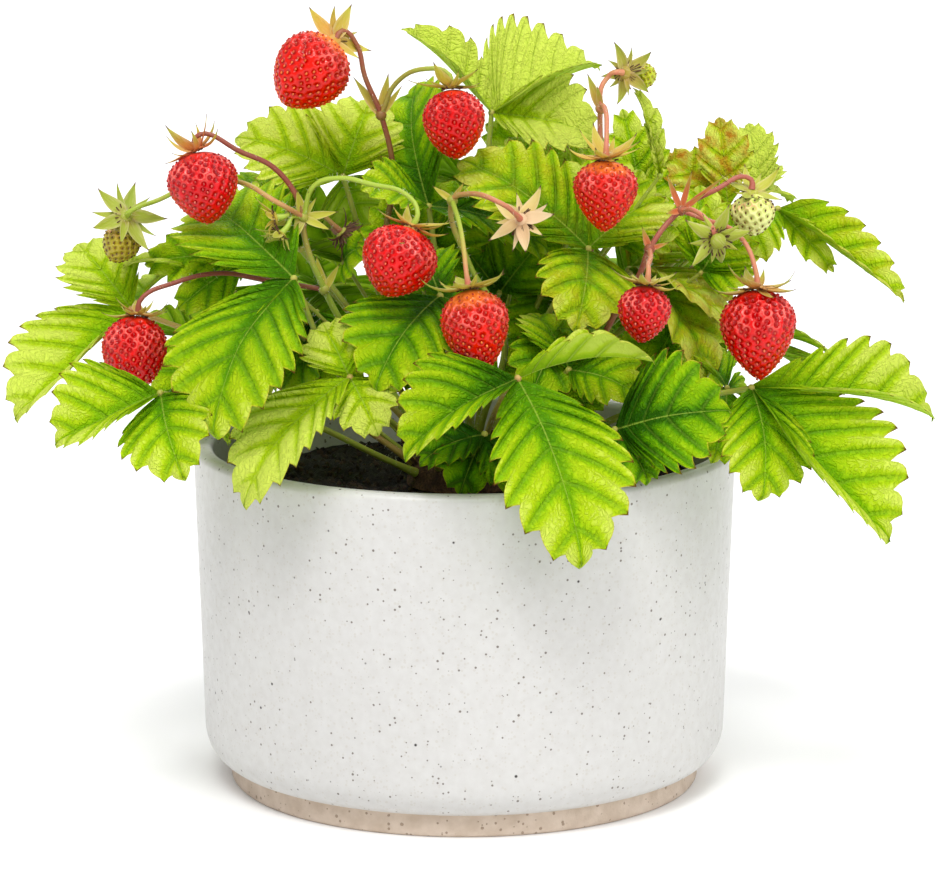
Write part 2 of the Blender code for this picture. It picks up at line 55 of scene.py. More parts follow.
Point = tuple[float, float, float]
Pair = tuple[float, float]
Colour = tuple[float, float, float]

MM = 0.001
UP = np.array((0.0, 0.0, 1.0))
WELD = 1e-4
TINY = 1e-3
BODY = "root"
SHARP_ANGLE = math.radians(62.0)
QUARTER = 0.5 * math.pi
FULL_TURN = 2.0 * math.pi


# --- Numbers and curves ---


def unit(vector: Array) -> Array:
    """The vector at length one."""
    return vector / np.linalg.norm(vector)


def rows_at_one(vectors: Array) -> Array:
    """Vectors, one a row, each at length one."""
    return vectors / np.maximum(np.linalg.norm(vectors, axis=1), 1e-9)[:, None]


def eased(low: float, high: float, value: Array) -> Array:
    """Nought below low, one above high, and a smooth rise between."""
    t = np.clip((np.asarray(value, float) - low) / (high - low), 0.0, 1.0)
    return t * t * (3.0 - 2.0 * t)


def running_length(path: Array) -> Array:
    """How far along a path, one point a row, each of its points lies."""
    return np.concatenate([[0.0], np.cumsum(np.linalg.norm(np.diff(path, axis=0), axis=1))])


def ripple(points: Array, wavelength: float, seed: int, waves: int = 6) -> Array:
    """Smooth noise at points, mostly between -1 and 1.

    Args:
        points: One row a point, in two or three dimensions.
        wavelength: The size of its bumps, in the points' unit.
        seed: Picks the waves.
        waves: How many waves are summed.

    Returns:
        One value a point.
    """
    rng = np.random.default_rng(seed)
    total = np.zeros(len(points))
    for _ in range(waves):
        direction = unit(rng.normal(size=points.shape[1]))
        length = wavelength * rng.uniform(0.6, 1.5)
        total += np.sin(points @ direction * (FULL_TURN / length) + rng.uniform(0.0, FULL_TURN))
    return total / math.sqrt(waves)


def smooth_path(knots: Sequence[Array], spacing: float, reach: float = 0.39) -> Array:
    """Points along a smooth curve through knots.

    Args:
        knots: The points that the curve passes through.
        spacing: The distance between the points read from it.
        reach: How far each knot's handles go, as a share of the distance to the next knot.

    Returns:
        The points, one a row, both ends included.
    """
    knots = np.array(knots, float)
    steps = np.diff(knots, axis=0)
    lengths = np.linalg.norm(steps, axis=1)
    runs = steps / lengths[:, None]
    turns = rows_at_one(np.vstack([runs[:1], runs[:-1] + runs[1:], runs[-1:]]))
    found = [knots[:1]]
    for i, length in enumerate(lengths):
        t = np.linspace(0.0, 1.0, max(2, math.ceil(length / spacing)) + 1)[1:, None]
        first = knots[i] + turns[i] * length * reach
        second = knots[i + 1] - turns[i + 1] * length * reach
        start, end = (1 - t) ** 3 * knots[i], t**3 * knots[i + 1]
        found.append(start + 3 * (1 - t) ** 2 * t * first + 3 * (1 - t) * t**2 * second + end)
    return np.vstack(found)


def arc(centre: Pair, radii: Pair, start: float, stop: float, steps: int) -> list[Pair]:
    """Points of an upright ellipse between two angles in degrees, both included."""
    angles = [math.radians(a) for a in np.linspace(start, stop, steps)]
    return [(centre[0] + radii[0] * math.cos(a), centre[1] + radii[1] * math.sin(a)) for a in angles]


def line(start: Pair, stop: Pair, steps: int) -> list[Pair]:
    """Evenly spread points from start, left out, to stop."""
    return [tuple(point) for point in np.linspace(start, stop, steps + 1)[1:]]


def grid_quads(rows: int, columns: int, wraps: bool = False, start: int = 0) -> Array:
    """Corner numbers of the quads of a grid whose points are numbered row by row.

    Args:
        rows: How many rows the grid has.
        columns: How many columns it has.
        wraps: Whether the last column joins the first.
        start: The number of its first point.

    Returns:
        The corners, one quad a row.
    """
    across = columns if wraps else columns - 1
    r, c = np.meshgrid(np.arange(rows - 1), np.arange(across), indexing="ij")
    d = (c + 1) % columns
    corners = (r * columns + c, r * columns + d, (r + 1) * columns + d, (r + 1) * columns + c)
    return start + np.stack(corners, axis=-1).reshape(-1, 4)


def frame_towards(up: Array) -> Array:
    """A turn, as a matrix of columns, whose third column points along up.

    Args:
        up: The direction, at length one.

    Returns:
        The matrix.
    """
    side = np.cross(up, (0.0, 1.0, 0.0))
    if np.linalg.norm(side) < TINY:
        side = np.cross(up, (1.0, 0.0, 0.0))
    side = unit(side)
    return np.column_stack([side, np.cross(up, side), up])


# --- Meshes ---


@dataclass
class Part:
    """Points and quads of one closed shape, with its three marks a point."""

    points: Array
    quads: Array
    shape: Array
    flat: Array
    look: Point | Array = (0.0, 0.0, 0.0)

    def marks(self) -> dict[str, Array]:
        """The marks by name, one row a point."""
        looks = np.broadcast_to(np.array(self.look, float), self.points.shape)
        return {"shape": self.shape, "flat": self.flat, "look": looks}

    def moved(self, axes: Array, place: Array) -> "Part":
        """The part itself, turned by a matrix of columns and then put at a place."""
        self.points = place + self.points @ axes.T
        return self

    def welded(self, sort: bool) -> tuple[Array, list[list[int]], Array]:
        """Points in one place made one, and quads that lost a corner made triangles.

        Args:
            sort: Whether quads come before triangles, or else the faces keep their order.

        Returns:
            Which points are kept, the faces by their numbers, and the quad that each came from.
        """
        key = np.round(self.points / WELD).astype(np.int64)
        _, first, index = np.unique(key, axis=0, return_index=True, return_inverse=True)
        corners = index.reshape(-1)[self.quads]
        again = corners == np.roll(corners, 1, axis=1)
        lost = again.sum(axis=1)
        order = np.arange(len(corners))
        if sort:
            order = np.argsort(np.where(lost > 0, (again.argmax(axis=1) - 1) % 4 + 1, 0), kind="stable")
        order = order[lost[order] < 2]
        pairs = zip(corners[order].tolist(), again[order].tolist())
        faces = [[corner for corner, twice in zip(*pair) if not twice] for pair in pairs]
        return first, faces, order


class Mould:
    """Gathers the parts of one piece and casts them as one object."""

    def __init__(self, name: str) -> None:
        """An empty mould for the piece of this name.

        Args:
            name: The name of the piece.
        """
        self.name = name
        self.points: list[Array] = []
        self.faces: list[list[int]] = []
        self.finishes: list[Array] = []
        self.marks: dict[str, list[Array]] = {"shape": [], "flat": [], "look": []}
        self.count = 0

    def add(self, part: Part, finish: int | Array = 0) -> None:
        """Adds a closed part.

        Args:
            part: The part, in millimetres.
            finish: The place of its material in the piece's list, for the part or for each quad.
        """
        whole = isinstance(finish, int)
        kept, faces, quads = part.welded(sort=whole)
        self.points.append(part.points[kept])
        self.faces += [[corner + self.count for corner in face] for face in faces]
        self.finishes.append(np.full(len(faces), finish) if whole else finish[quads])
        for name, values in part.marks().items():
            self.marks[name].append(values[kept])
        self.count += len(kept)

    def cast(self, materials: Sequence[Material], sharp: float = SHARP_ANGLE) -> Object:
        """One object of all the parts, at the origin.

        Args:
            materials: The piece's materials, in the order that add() numbers them.
            sharp: Edges that turn more than this are shaded sharp.

        Returns:
            The new object, linked to the scene.
        """
        mesh = bpy.data.meshes.new(self.name)
        mesh.from_pydata((np.vstack(self.points) * MM).tolist(), [], self.faces)
        for name, values in self.marks.items():
            mark = mesh.attributes.new(name, "FLOAT_VECTOR", "POINT")
            mark.data.foreach_set("vector", np.vstack(values).astype(np.float32).ravel())
        for material in materials:
            mesh.materials.append(material)
        mesh.polygons.foreach_set("material_index", np.concatenate(self.finishes).astype(np.int32))
        mesh.shade_smooth()
        mesh.set_sharp_from_angle(angle=sharp)
        return linked(self.name, mesh)


def linked(name: str, data: ID | None) -> Object:
    """A new object in the scene.

    Args:
        name: Its name.
        data: Its mesh, lamp or camera.

    Returns:
        The object.
    """
    obj = bpy.data.objects.new(name, data)
    bpy.context.scene.collection.objects.link(obj)
    return obj


def turned(profile: Array, segments: int, waver: float = 0.0) -> Part:
    """A solid of revolution about Z.

    Args:
        profile: Radius and height, one point a row, anticlockwise from axis to axis.
        segments: How many steps go round.
        waver: How far the wall strays from round, in millimetres.

    Returns:
        The part; its shape mark is the share of the profile, the angle and the radius.
    """
    angles = FULL_TURN * np.arange(segments) / segments
    radius = profile[:, :1] * np.ones(segments)
    height = profile[:, 1:] * np.ones(segments)
    x, y = radius * np.cos(angles), radius * np.sin(angles)
    points = np.stack([x, y, height], axis=-1).reshape(-1, 3)
    if waver:
        spread = 1.0 + waver * ripple(points, 60.0, 3) / np.maximum(radius.ravel(), 20.0)
        points[:, :2] *= spread[:, None]
    share = np.linspace(0.0, 1.0, len(profile))[:, None] * np.ones(segments)
    turn = np.ones((len(profile), 1)) * angles
    shape = np.stack([share, turn, radius], axis=-1).reshape(-1, 3)
    return Part(points, grid_quads(len(profile), segments, wraps=True), shape, points.copy())


def swept(path: Array, radii: Array, sides: int, *looks: Point) -> Part:
    """A closed round tube along a path.

    Args:
        path: Points, one a row.
        radii: The radius at each point.
        sides: How many sides the tube has.
        *looks: Its look marks, evenly spread from end to end.

    Returns:
        The part; its shape mark is the share of the length, the share round, and the distance
        from the start in millimetres.
    """
    tangents = rows_at_one(np.gradient(path, axis=0))
    lengths = running_length(path)
    normal = frame_towards(tangents[0])[:, 0]
    angles = FULL_TURN * np.arange(sides) / sides
    rings = [np.repeat(path[:1], sides, axis=0)]
    for point, tangent, radius in zip(path, tangents, radii):
        normal = unit(normal - tangent * (normal @ tangent))
        across = np.cross(tangent, normal)
        rings.append(point + radius * (np.outer(np.cos(angles), normal) + np.outer(np.sin(angles), across)))
    rings.append(np.repeat(path[-1:], sides, axis=0))
    along = np.concatenate([[0.0], lengths / lengths[-1], [1.0]])
    distance = np.concatenate([[0.0], lengths, lengths[-1:]])
    shape = np.zeros((len(rings), sides, 3))
    shape[:, :, 0] = along[:, None]
    shape[:, :, 1] = angles / FULL_TURN
    shape[:, :, 2] = distance[:, None]
    flat = np.zeros((len(rings), sides, 3))
    flat[:, :, 0] = angles * float(np.mean(radii))
    flat[:, :, 1] = distance[:, None]
    quads = grid_quads(len(rings), sides, wraps=True)
    keys = np.linspace(0.0, 1.0, len(looks))
    spread = np.column_stack([np.interp(along, keys, mark) for mark in zip(*looks)])
    marks = (shape.reshape(-1, 3), flat.reshape(-1, 3), np.repeat(spread, sides, axis=0))
    return Part(np.vstack(rings), quads, *marks)


def globe(centre: Array, radius: float, look: Point, squash: float = 1.0) -> Part:
    """A small ball, which squash flattens along Z.

    Args:
        centre: Its middle.
        radius: Its radius across.
        look: Its look mark.
        squash: Its height as a share of its width.

    Returns:
        The part.
    """
    profile = radius * np.array(arc((0.0, 0.0), (1.0, squash), -90.0, 90.0, 7))
    profile[[0, -1], 0] = 0.0
    part = turned(profile, 12)
    part.points = part.points + centre
    part.look = look
    return part


# --- Node trees ---


FLOAT, VECTOR, COLOUR = "NodeSocketFloat", "NodeSocketVector", "NodeSocketColor"
GEOMETRY, MATERIAL = "NodeSocketGeometry", "NodeSocketMaterial"
WHOLE, OBJECT = "NodeSocketInt", "NodeSocketObject"


class Value:
    """A node's output that takes the signs of arithmetic."""

    def __init__(self, wiring: "Wiring", socket: NodeSocket) -> None:
        """Keeps the output and the tree that it is in."""
        self.wiring = wiring
        self.socket = socket

    def __add__(self, other: object) -> "Value":
        """The two added."""
        return self.wiring.sum("ADD", self, other)

    def __sub__(self, other: object) -> "Value":
        """The other taken from this one."""
        return self.wiring.sum("SUBTRACT", self, other)

    def __rsub__(self, other: object) -> "Value":
        """This one taken from the other."""
        return self.wiring.sum("SUBTRACT", other, self)

    def __mul__(self, other: object) -> "Value":
        """The two multiplied."""
        return self.wiring.sum("MULTIPLY", self, other)

    def __truediv__(self, other: object) -> "Value":
        """This one divided by the other."""
        return self.wiring.sum("DIVIDE", self, other)

    def __pow__(self, other: object) -> "Value":
        """This one to the power of the other."""
        return self.wiring.sum("POWER", self, other)

    def __abs__(self) -> "Value":
        """Its size without its sign."""
        return self.wiring.sum("ABSOLUTE", self)

    def clamped(self) -> "Value":
        """The same output, whose node now keeps between 0 and 1."""
        self.socket.node.use_clamp = True
        return self


class Wiring:
    """A node tree, with short calls that add and join its nodes."""

    def __init__(self, tree: NodeTree) -> None:
        """Keeps the tree."""
        self.tree = tree

    def feed(self, socket: NodeSocket, value: object) -> None:
        """Links an input to another node's output, or sets its value.

        Args:
            socket: The input.
            value: A number, a colour or another node's output.
        """
        if isinstance(value, Value):
            self.tree.links.new(value.socket, socket)
        else:
            socket.default_value = value

    def node(self, kind: str, values: dict | None = None, **settings: object) -> Node:
        """Adds a node.

        Args:
            kind: The node's type.
            values: Its inputs, by name or place, as numbers or as other nodes' outputs.
            **settings: The node's own settings.

        Returns:
            The new node.
        """
        node = self.tree.nodes.new(kind)
        for name, value in settings.items():
            setattr(node, name, value)
        for key, value in (values or {}).items():
            self.feed(node.inputs[key], value)
        return node

    def put(self, kind: str, values: dict | None = None, output: int | str = 0, **settings: object) -> Value:
        """Adds a node, as node() does, and gives one of its outputs, by name or place."""
        return Value(self, self.node(kind, values, **settings).outputs[output])

    def sum(self, operation: str, a: object, b: object = 0.0) -> Value:
        """The result of a Math node."""
        return self.put("ShaderNodeMath", {0: a, 1: b}, operation=operation)

    def split(self, vector: Value) -> list[Value]:
        """The three numbers of a vector."""
        outputs = self.node("ShaderNodeSeparateXYZ", {0: vector}).outputs
        return [Value(self, output) for output in outputs]


class Paint(Wiring):
    """The node tree of a material or of a shader node group."""

    def mark(self, name: str) -> Value:
        """A vector attribute of the surface."""
        return self.put("ShaderNodeAttribute", output="Vector", attribute_name=name)

    def rise(self, value: object, low: float, high: float, to: Pair = (0.0, 1.0)) -> Value:
        """A smooth step of value from low to high."""
        inputs = {0: value, 1: low, 2: high, 3: to[0], 4: to[1]}
        return self.put("ShaderNodeMapRange", inputs, interpolation_type="SMOOTHSTEP")

    def mix(self, factor: object, first: object, second: object) -> Value:
        """Two colours mixed."""
        inputs = {0: factor, 6: rgba(first), 7: rgba(second)}
        return self.put("ShaderNodeMix", inputs, 2, data_type="RGBA", clamp_factor=True)

    def ramp(self, factor: object, stops: Sequence[tuple[float, Colour]]) -> Value:
        """A colour read from a ramp of stops.

        Args:
            factor: The place on the ramp, from 0 to 1.
            stops: Places and their colours.

        Returns:
            The colour.
        """
        node = self.node("ShaderNodeValToRGB", {0: factor})
        elements = node.color_ramp.elements
        while len(elements) < len(stops):
            elements.new(0.5)
        for element, (place, colour) in zip(elements, stops):
            element.position = place
            element.color = rgba(colour)
        return Value(self, node.outputs[0])

    def noise(self, vector: object, scale: object, detail: float = 2.0, rough: float = 0.5) -> Value:
        """Noise between 0 and 1."""
        inputs = {"Vector": vector, "Scale": scale, "Detail": detail, "Roughness": rough}
        return self.put("ShaderNodeTexNoise", inputs)

    def bump(self, height: object, distance: float, strength: float = 1.0) -> Value:
        """A normal bent by a height, which stands for distance in metres where it is one."""
        return self.put("ShaderNodeBump", {"Height": height, "Distance": distance, "Strength": strength})

    def to_vein(self, order: Value) -> Value:
        """How far a place along the margin is from the nearest side vein, which ends on a whole number."""
        return abs(self.sum("FRACT", order + 0.5) - 0.5)

    def group(self, tree: NodeTree, **inputs: object) -> dict[str, Value]:
        """Places a node group, whose inputs are given by name, and gives its outputs by name.

        Args:
            tree: The group.
            **inputs: Its inputs by name.

        Returns:
            Its outputs by name.
        """
        node = self.node("ShaderNodeGroup", node_tree=tree)
        for label, value in inputs.items():
            self.feed(node.inputs[label], rgba(value))
        return {output.name: Value(self, output) for output in node.outputs}


class Coat(Paint):
    """The paint of one material, with its Principled BSDF."""

    def __init__(self, name: str, shown: Colour) -> None:
        """Starts the material; shown is its colour in a plain view.

        Args:
            name: The name of the material.
            shown: Its colour in a plain view.
        """
        self.material = bpy.data.materials.new(name)
        self.material.use_nodes = True
        self.material.diffuse_color = rgba(shown)
        super().__init__(self.material.node_tree)
        self.shader = self.tree.nodes["Principled BSDF"]

    def place(self) -> Value:
        """Object coordinates."""
        return self.put("ShaderNodeTexCoord", output="Object")

    def wear(self, **inputs: object) -> Material:
        """Feeds the shader's inputs, named with underscores for spaces, and gives the material.

        Args:
            **inputs: Numbers, colours or other nodes' outputs, by input.

        Returns:
            The finished material.
        """
        for label, value in inputs.items():
            self.feed(self.shader.inputs[label.replace("_", " ")], rgba(value) if "Color" in label else value)
        return self.material

    def glow_through(self, share: float, inputs: dict[str, object]) -> None:
        """Lets a share of the light come through, as in a thin leaf, by a Translucent BSDF.

        Args:
            share: The share, from 0 to 1.
            inputs: The Translucent BSDF's inputs by name.
        """
        lit = self.put("ShaderNodeBsdfTranslucent", inputs)
        both = self.put("ShaderNodeMixShader", {0: share, 1: Value(self, self.shader.outputs[0]), 2: lit})
        self.feed(self.tree.nodes["Material Output"].inputs["Surface"], both)


def rgba(colour: object) -> object:
    """A colour with its alpha; anything else is passed through."""
    return (*colour, 1.0) if isinstance(colour, tuple) and len(colour) == 3 else colour


def tint(red: int, green: int, blue: int) -> Colour:
    """A display colour of three numbers to 255 as linear light."""
    shares = [value / 255.0 for value in (red, green, blue)]
    return tuple(c / 12.92 if c <= 0.04045 else ((c + 0.055) / 1.055) ** 2.4 for c in shares)


def new_group(name: str, kind: str, inputs: dict[str, str], outputs: dict[str, str]) -> tuple:
    """A node group with its sockets.

    Args:
        name: The group's name.
        kind: The type of its tree.
        inputs: Socket types by name.
        outputs: Socket types by name.

    Returns:
        The tree, its group input node and its group output node.
    """
    tree = bpy.data.node_groups.new(name, kind)
    for way, sockets in (("INPUT", inputs), ("OUTPUT", outputs)):
        for label, socket in sockets.items():
            tree.interface.new_socket(name=label, in_out=way, socket_type=socket)
    return tree, tree.nodes.new("NodeGroupInput"), tree.nodes.new("NodeGroupOutput")


class Effects:
    """Shader groups that several finishes share."""

    def __init__(self) -> None:
        """Builds each group once."""
        self.mottle = self.make_mottle()
        self.speckle = self.make_speckle()
        self.veining = self.make_veining()

    @staticmethod
    def start(name: str, inputs: dict[str, str], outputs: dict[str, str]) -> tuple:
        """A shader group's tree, its paint, its inputs' values by name and its output node.

        Args:
            name: The name of the group.
            inputs: Types of its inputs by name.
            outputs: Types of its outputs by name.

        Returns:
            The tree, the paint, the values, and the output node's inputs.
        """
        tree, given, result = new_group(name, "ShaderNodeTree", inputs, outputs)
        paint = Paint(tree)
        return tree, paint, {label: Value(paint, given.outputs[label]) for label in inputs}, result.inputs

    def make_mottle(self) -> NodeTree:
        """Two colours that drift into each other, and the mask between them.

        Returns:
            The group.
        """
        inputs = {"Vector": VECTOR, "Scale": FLOAT, "Contrast": FLOAT, "Light": COLOUR, "Dark": COLOUR}
        tree, paint, given, result = self.start("mottle", inputs, {"Color": COLOUR, "Mask": FLOAT})
        broad = paint.noise(given["Vector"], given["Scale"], 3.0)
        mask = ((broad - 0.5) * given["Contrast"] + 0.5).clamped()
        paint.feed(result["Color"], paint.mix(mask, given["Light"], given["Dark"]))
        paint.feed(result["Mask"], mask)
        return tree

    def make_speckle(self) -> NodeTree:
        """Scattered round specks of many sizes: only a share of the cells hold one.

        Returns:
            The group.
        """
        inputs = {"Vector": VECTOR, "Scale": FLOAT, "Share": FLOAT, "Radius": FLOAT}
        tree, paint, given, result = self.start("speckle", inputs, {"Mask": FLOAT})
        values = {label: given[label] for label in ("Vector", "Scale")}
        cell = paint.node("ShaderNodeTexVoronoi", values, feature="F1").outputs
        parts = paint.node("ShaderNodeSeparateColor", {0: Value(paint, cell["Color"])}).outputs
        chance, size, _ = [Value(paint, output) for output in parts]
        here = paint.sum("LESS_THAN", chance, given["Share"])
        edge = given["Radius"] * (size + 0.35) - Value(paint, cell["Distance"])
        paint.feed(result["Mask"], (edge * 14.0).clamped() * here)
        return tree

    def make_veining(self) -> NodeTree:
        """A leaf's midrib, its side veins and the fine net between them, as masks, with a mask of painted
        shade: low in the grooves by the side veins and high on the swells between them.

        Returns:
            The group.
        """
        outputs = {"Rib": FLOAT, "Side Veins": FLOAT, "Net": FLOAT, "Between": FLOAT}
        tree, paint, given, result = self.start("veining", {"Shape": VECTOR, "Flat": VECTOR}, outputs)
        order, across, along = paint.split(given["Shape"])
        sideways = abs(paint.split(given["Flat"])[0])
        rib = (1.0 - sideways / paint.rise(along, 0.0, 1.0, (0.34, 0.12))).clamped()
        wave = paint.to_vein(order)
        side = paint.rise(wave, 0.02, 0.085, (1.0, 0.0)) * paint.rise(across, 0.8, 1.0, (1.0, 0.3))
        ladder = across * 6.0 + wave * -2.6
        stray = paint.noise(given["Flat"], 0.3, 2.0) * 2.2
        rungs = paint.rise(abs(paint.sum("FRACT", ladder + stray) - 0.5), 0.0, 0.24, (1.0, 0.0))
        crease = paint.noise(given["Flat"], 0.42, 3.0, 0.6)
        creases = paint.rise(abs(crease - 0.5), 0.0, 0.09, (0.7, 0.0))
        # Painted light and shade: this mask lightens the swells between the side veins and darkens the
        # grooves by them.
        swell = paint.rise(wave, 0.02, 0.34) ** 0.6
        fade = paint.rise(across, 0.03, 0.3) * paint.rise(along, 0.02, 0.4)
        paint.feed(result["Rib"], rib)
        paint.feed(result["Side Veins"], side)
        paint.feed(result["Net"], paint.sum("MAXIMUM", rungs * 0.8, creases))
        paint.feed(result["Between"], swell * fade)
        return tree


# --- Finishes ---


@dataclass(frozen=True)
class Mottle:
    """Two colours that drift into each other: their noise's scale and how sharply they part."""

    scale: float
    contrast: float
    light: Colour
    dark: Colour

    def put_on(self, coat: Coat, effects: Effects, place: Value) -> tuple[Value, Value]:
        """Its colour and its mask on a coat.

        Args:
            coat: The paint of the material.
            effects: The shared shader groups.
            place: Object coordinates.

        Returns:
            The colour and the mask.
        """
        colours = {"Light": self.light, "Dark": self.dark}
        found = coat.group(effects.mottle, Vector=place, Scale=self.scale, Contrast=self.contrast, **colours)
        return found["Color"], found["Mask"]


@dataclass(frozen=True)
class Specks:
    """Round specks: the scale of their cells, the share that hold one, their size and their strength."""

    scale: float
    share: float
    radius: float
    strength: float = 1.0

    def put_on(self, coat: Coat, effects: Effects, place: Value) -> Value:
        """Their mask on a coat, at full strength."""
        inputs = {"Scale": self.scale, "Share": self.share, "Radius": self.radius}
        return coat.group(effects.speckle, Vector=place, **inputs)["Mask"]


@dataclass(frozen=True)
class GlazeFinish:
    """Satin off-white glaze with fine mottling and iron specks."""

    body: Mottle = Mottle(420.0, 1.6, tint(203, 202, 200), tint(194, 192, 189))
    grain: Specks = Specks(1300.0, 0.35, 0.4, 0.3)
    fine: Specks = Specks(760.0, 0.26, 0.22, 0.85)
    large: Specks = Specks(330.0, 0.26, 0.12)
    tan_speck: Colour = tint(180, 172, 158)
    speck: Colour = tint(92, 80, 70)
    dark_speck: Colour = tint(46, 40, 38)
    peel: float = 0.00012
    roughness: Pair = (0.3, 0.42)

    def make(self, effects: Effects) -> Material:
        """The glaze's material.

        Args:
            effects: The shared shader groups.

        Returns:
            The material.
        """
        coat = Coat("speckled_glaze", self.body.light)
        place = coat.place()
        colour, mask = self.body.put_on(coat, effects, place)
        for specks, shade in ((self.grain, self.tan_speck), (self.fine, self.speck)):
            colour = coat.mix(specks.put_on(coat, effects, place) * specks.strength, colour, shade)
        large = self.large.put_on(coat, effects, place)
        colour = coat.mix(large, colour, self.dark_speck)
        height = coat.noise(place, self.body.scale, 3.0) + large * -0.5
        normal = coat.bump(height, self.peel, 0.6)
        rough = coat.rise(mask, 0.0, 1.0, self.roughness)
        return coat.wear(Base_Color=colour, Normal=normal, Roughness=rough, Specular_IOR_Level=0.5)


@dataclass(frozen=True)
class ClayFinish:
    """Bare sandy stoneware of the foot."""

    body: Mottle = Mottle(260.0, 2.2, tint(212, 195, 178), tint(192, 173, 154))
    grit: Specks = Specks(900.0, 0.16, 0.34, 0.7)
    grit_colour: Colour = tint(136, 114, 92)
    grain: float = 0.0002
    roughness: Pair = (0.78, 0.92)

    def make(self, effects: Effects) -> Material:
        """The clay's material.

        Args:
            effects: The shared shader groups.

        Returns:
            The material.
        """
        coat = Coat("bare_clay", self.body.light)
        place = coat.place()
        colour, mask = self.body.put_on(coat, effects, place)
        grit = self.grit.put_on(coat, effects, place)
        colour = coat.mix(grit * self.grit.strength, colour, self.grit_colour)
        normal = coat.bump(coat.noise(place, 1300.0, 3.0, 0.7) + grit, self.grain, 0.8)
        rough = coat.rise(mask, 0.0, 1.0, self.roughness)
        return coat.wear(Base_Color=colour, Normal=normal, Roughness=rough)


@dataclass(frozen=True)
class EarthFinish:
    """Something dark, rough and crumbly: soil, crumbs or bark."""

    name: str
    body: Mottle
    depth: float
    roughness: Pair = (0.8, 1.0)

    def make(self, effects: Effects) -> Material:
        """The material.

        Args:
            effects: The shared shader groups.

        Returns:
            The material.
        """
        coat = Coat(self.name, self.body.light)
        place = coat.place()
        colour, _ = self.body.put_on(coat, effects, place)
        grain = coat.noise(place, self.body.scale * 6.0, 4.0, 0.7)
        colour = coat.mix(coat.rise(grain, 0.35, 0.7), colour, self.body.dark)
        rough = coat.rise(grain, 0.2, 0.8, self.roughness)
        return coat.wear(Base_Color=colour, Normal=coat.bump(grain, self.depth), Roughness=rough)


@dataclass(frozen=True)
class LeafFinish:
    """One face of a leaf: greens that go to yellow at the margin, veins, and light that comes through.

    greens is the ramp from deep green to yellow, which base shifts; along it the leaf is darker towards
    the hub and the midrib. The ramp also carries painted shade: it is lower in the grooves by the side
    veins and higher on the swells between them, and the net weight lowers it along the fine veins and
    creases. side is how strongly the side veins are coloured. swell and groove are how far the fine
    net and the side veins stand out, and through is the share of the light that comes through.
    """

    name: str
    greens: tuple[tuple[float, Colour], ...]
    base: float
    net_shade: float
    side: float
    swell: float
    groove: float
    vein: Colour
    margin: Colour
    glow: Colour
    through: float
    roughness: Pair
    tooth: Colour = tint(104, 44, 26)
    rust: Colour = tint(206, 130, 38)
    relief: float = 0.0005
    shine: float = 0.08

    def green(self, coat: Coat, veins: dict[str, Value], tone: Value, drift: Value) -> Value:
        """The place on the ramp of greens, with the painted shade of the leaf's relief.

        Args:
            coat: The paint of the face.
            veins: The masks of its veins.
            tone: How yellow the leaf is.
            drift: A slow noise over the plant.

        Returns:
            The place, from 0 to 1.
        """
        _, across, along = coat.split(coat.mark("shape"))
        green = tone * 0.6 + self.base
        green = coat.rise(along, 0.0, 1.0) * 0.24 + green
        green = across**2.0 * 0.22 + green
        green = drift * 0.32 + green
        # Painted light and shade: higher on the swells between the side veins, lower in the grooves by them.
        green = veins["Between"] * 0.36 + green
        # Painted shade: lower along the fine veins and creases of the net.
        return veins["Net"] * self.net_shade + green

    def make(self, effects: Effects) -> Material:
        """The face's material; its look mark is tone, rust and nothing.

        Args:
            effects: The shared shader groups.

        Returns:
            The material.
        """
        coat = Coat(self.name, self.greens[1][1])
        shape, flat = coat.mark("shape"), coat.mark("flat")
        order, across, _ = coat.split(shape)
        tone, rust, _ = coat.split(coat.mark("look"))
        veins = coat.group(effects.veining, Shape=shape, Flat=flat)
        drift = coat.noise(coat.place(), 90.0, 3.0)
        colour = coat.ramp(self.green(coat, veins, tone, drift), self.greens)
        ribs = coat.sum("MAXIMUM", veins["Side Veins"] * self.side, veins["Rib"] * 0.85)
        colour = coat.mix(ribs, colour, self.vein)
        worn = coat.rise(coat.noise(flat, 0.16, 4.0, 0.65), 0.36, 0.72) * rust
        colour = coat.mix(worn.clamped(), colour, self.rust)
        colour = coat.mix(coat.rise(across, 0.975, 0.995) * 0.8, colour, self.margin)
        tips = coat.rise(across, 0.95, 0.995) * coat.rise(coat.to_vein(order), 0.03, 0.1, (1.0, 0.0))
        colour = coat.mix(tips, colour, self.tooth)
        height = veins["Net"] * self.swell + veins["Side Veins"] * self.groove
        normal = coat.bump(height + coat.noise(flat, 0.7, 2.0), self.relief, 0.85)
        coat.glow_through(self.through, {"Color": coat.mix(0.55, colour, self.glow), "Normal": normal})
        rough = coat.rise(drift, 0.3, 0.7, self.roughness)
        return coat.wear(Base_Color=colour, Normal=normal, Roughness=rough, Specular_IOR_Level=self.shine)


UPPER_FACE = LeafFinish(
    name="leaf_upper",
    greens=(
        (0.0, tint(38, 92, 4)),
        (0.25, tint(92, 154, 5)),
        (0.5, tint(146, 194, 6)),
        (0.78, tint(194, 220, 24)),
        (1.0, tint(226, 238, 100)),
    ),
    base=-0.238,
    net_shade=-0.13,
    side=0.14,
    swell=-0.8,
    groove=-0.8,
    vein=tint(178, 204, 76),
    margin=tint(214, 196, 60),
    glow=tint(178, 216, 8),
    through=0.36,
    roughness=(0.34, 0.46),
)
UNDER_FACE = LeafFinish(
    name="leaf_under",
    greens=(
        (0.0, tint(76, 124, 14)),
        (0.3, tint(120, 166, 18)),
        (0.6, tint(166, 206, 28)),
        (0.85, tint(206, 230, 54)),
        (1.0, tint(226, 240, 104)),
    ),
    base=-0.2,
    net_shade=-0.05,
    side=0.6,
    swell=0.22,
    groove=0.9,
    vein=tint(204, 222, 96),
    margin=tint(218, 206, 60),
    glow=tint(186, 226, 8),
    through=0.5,
    roughness=(0.55, 0.7),
)


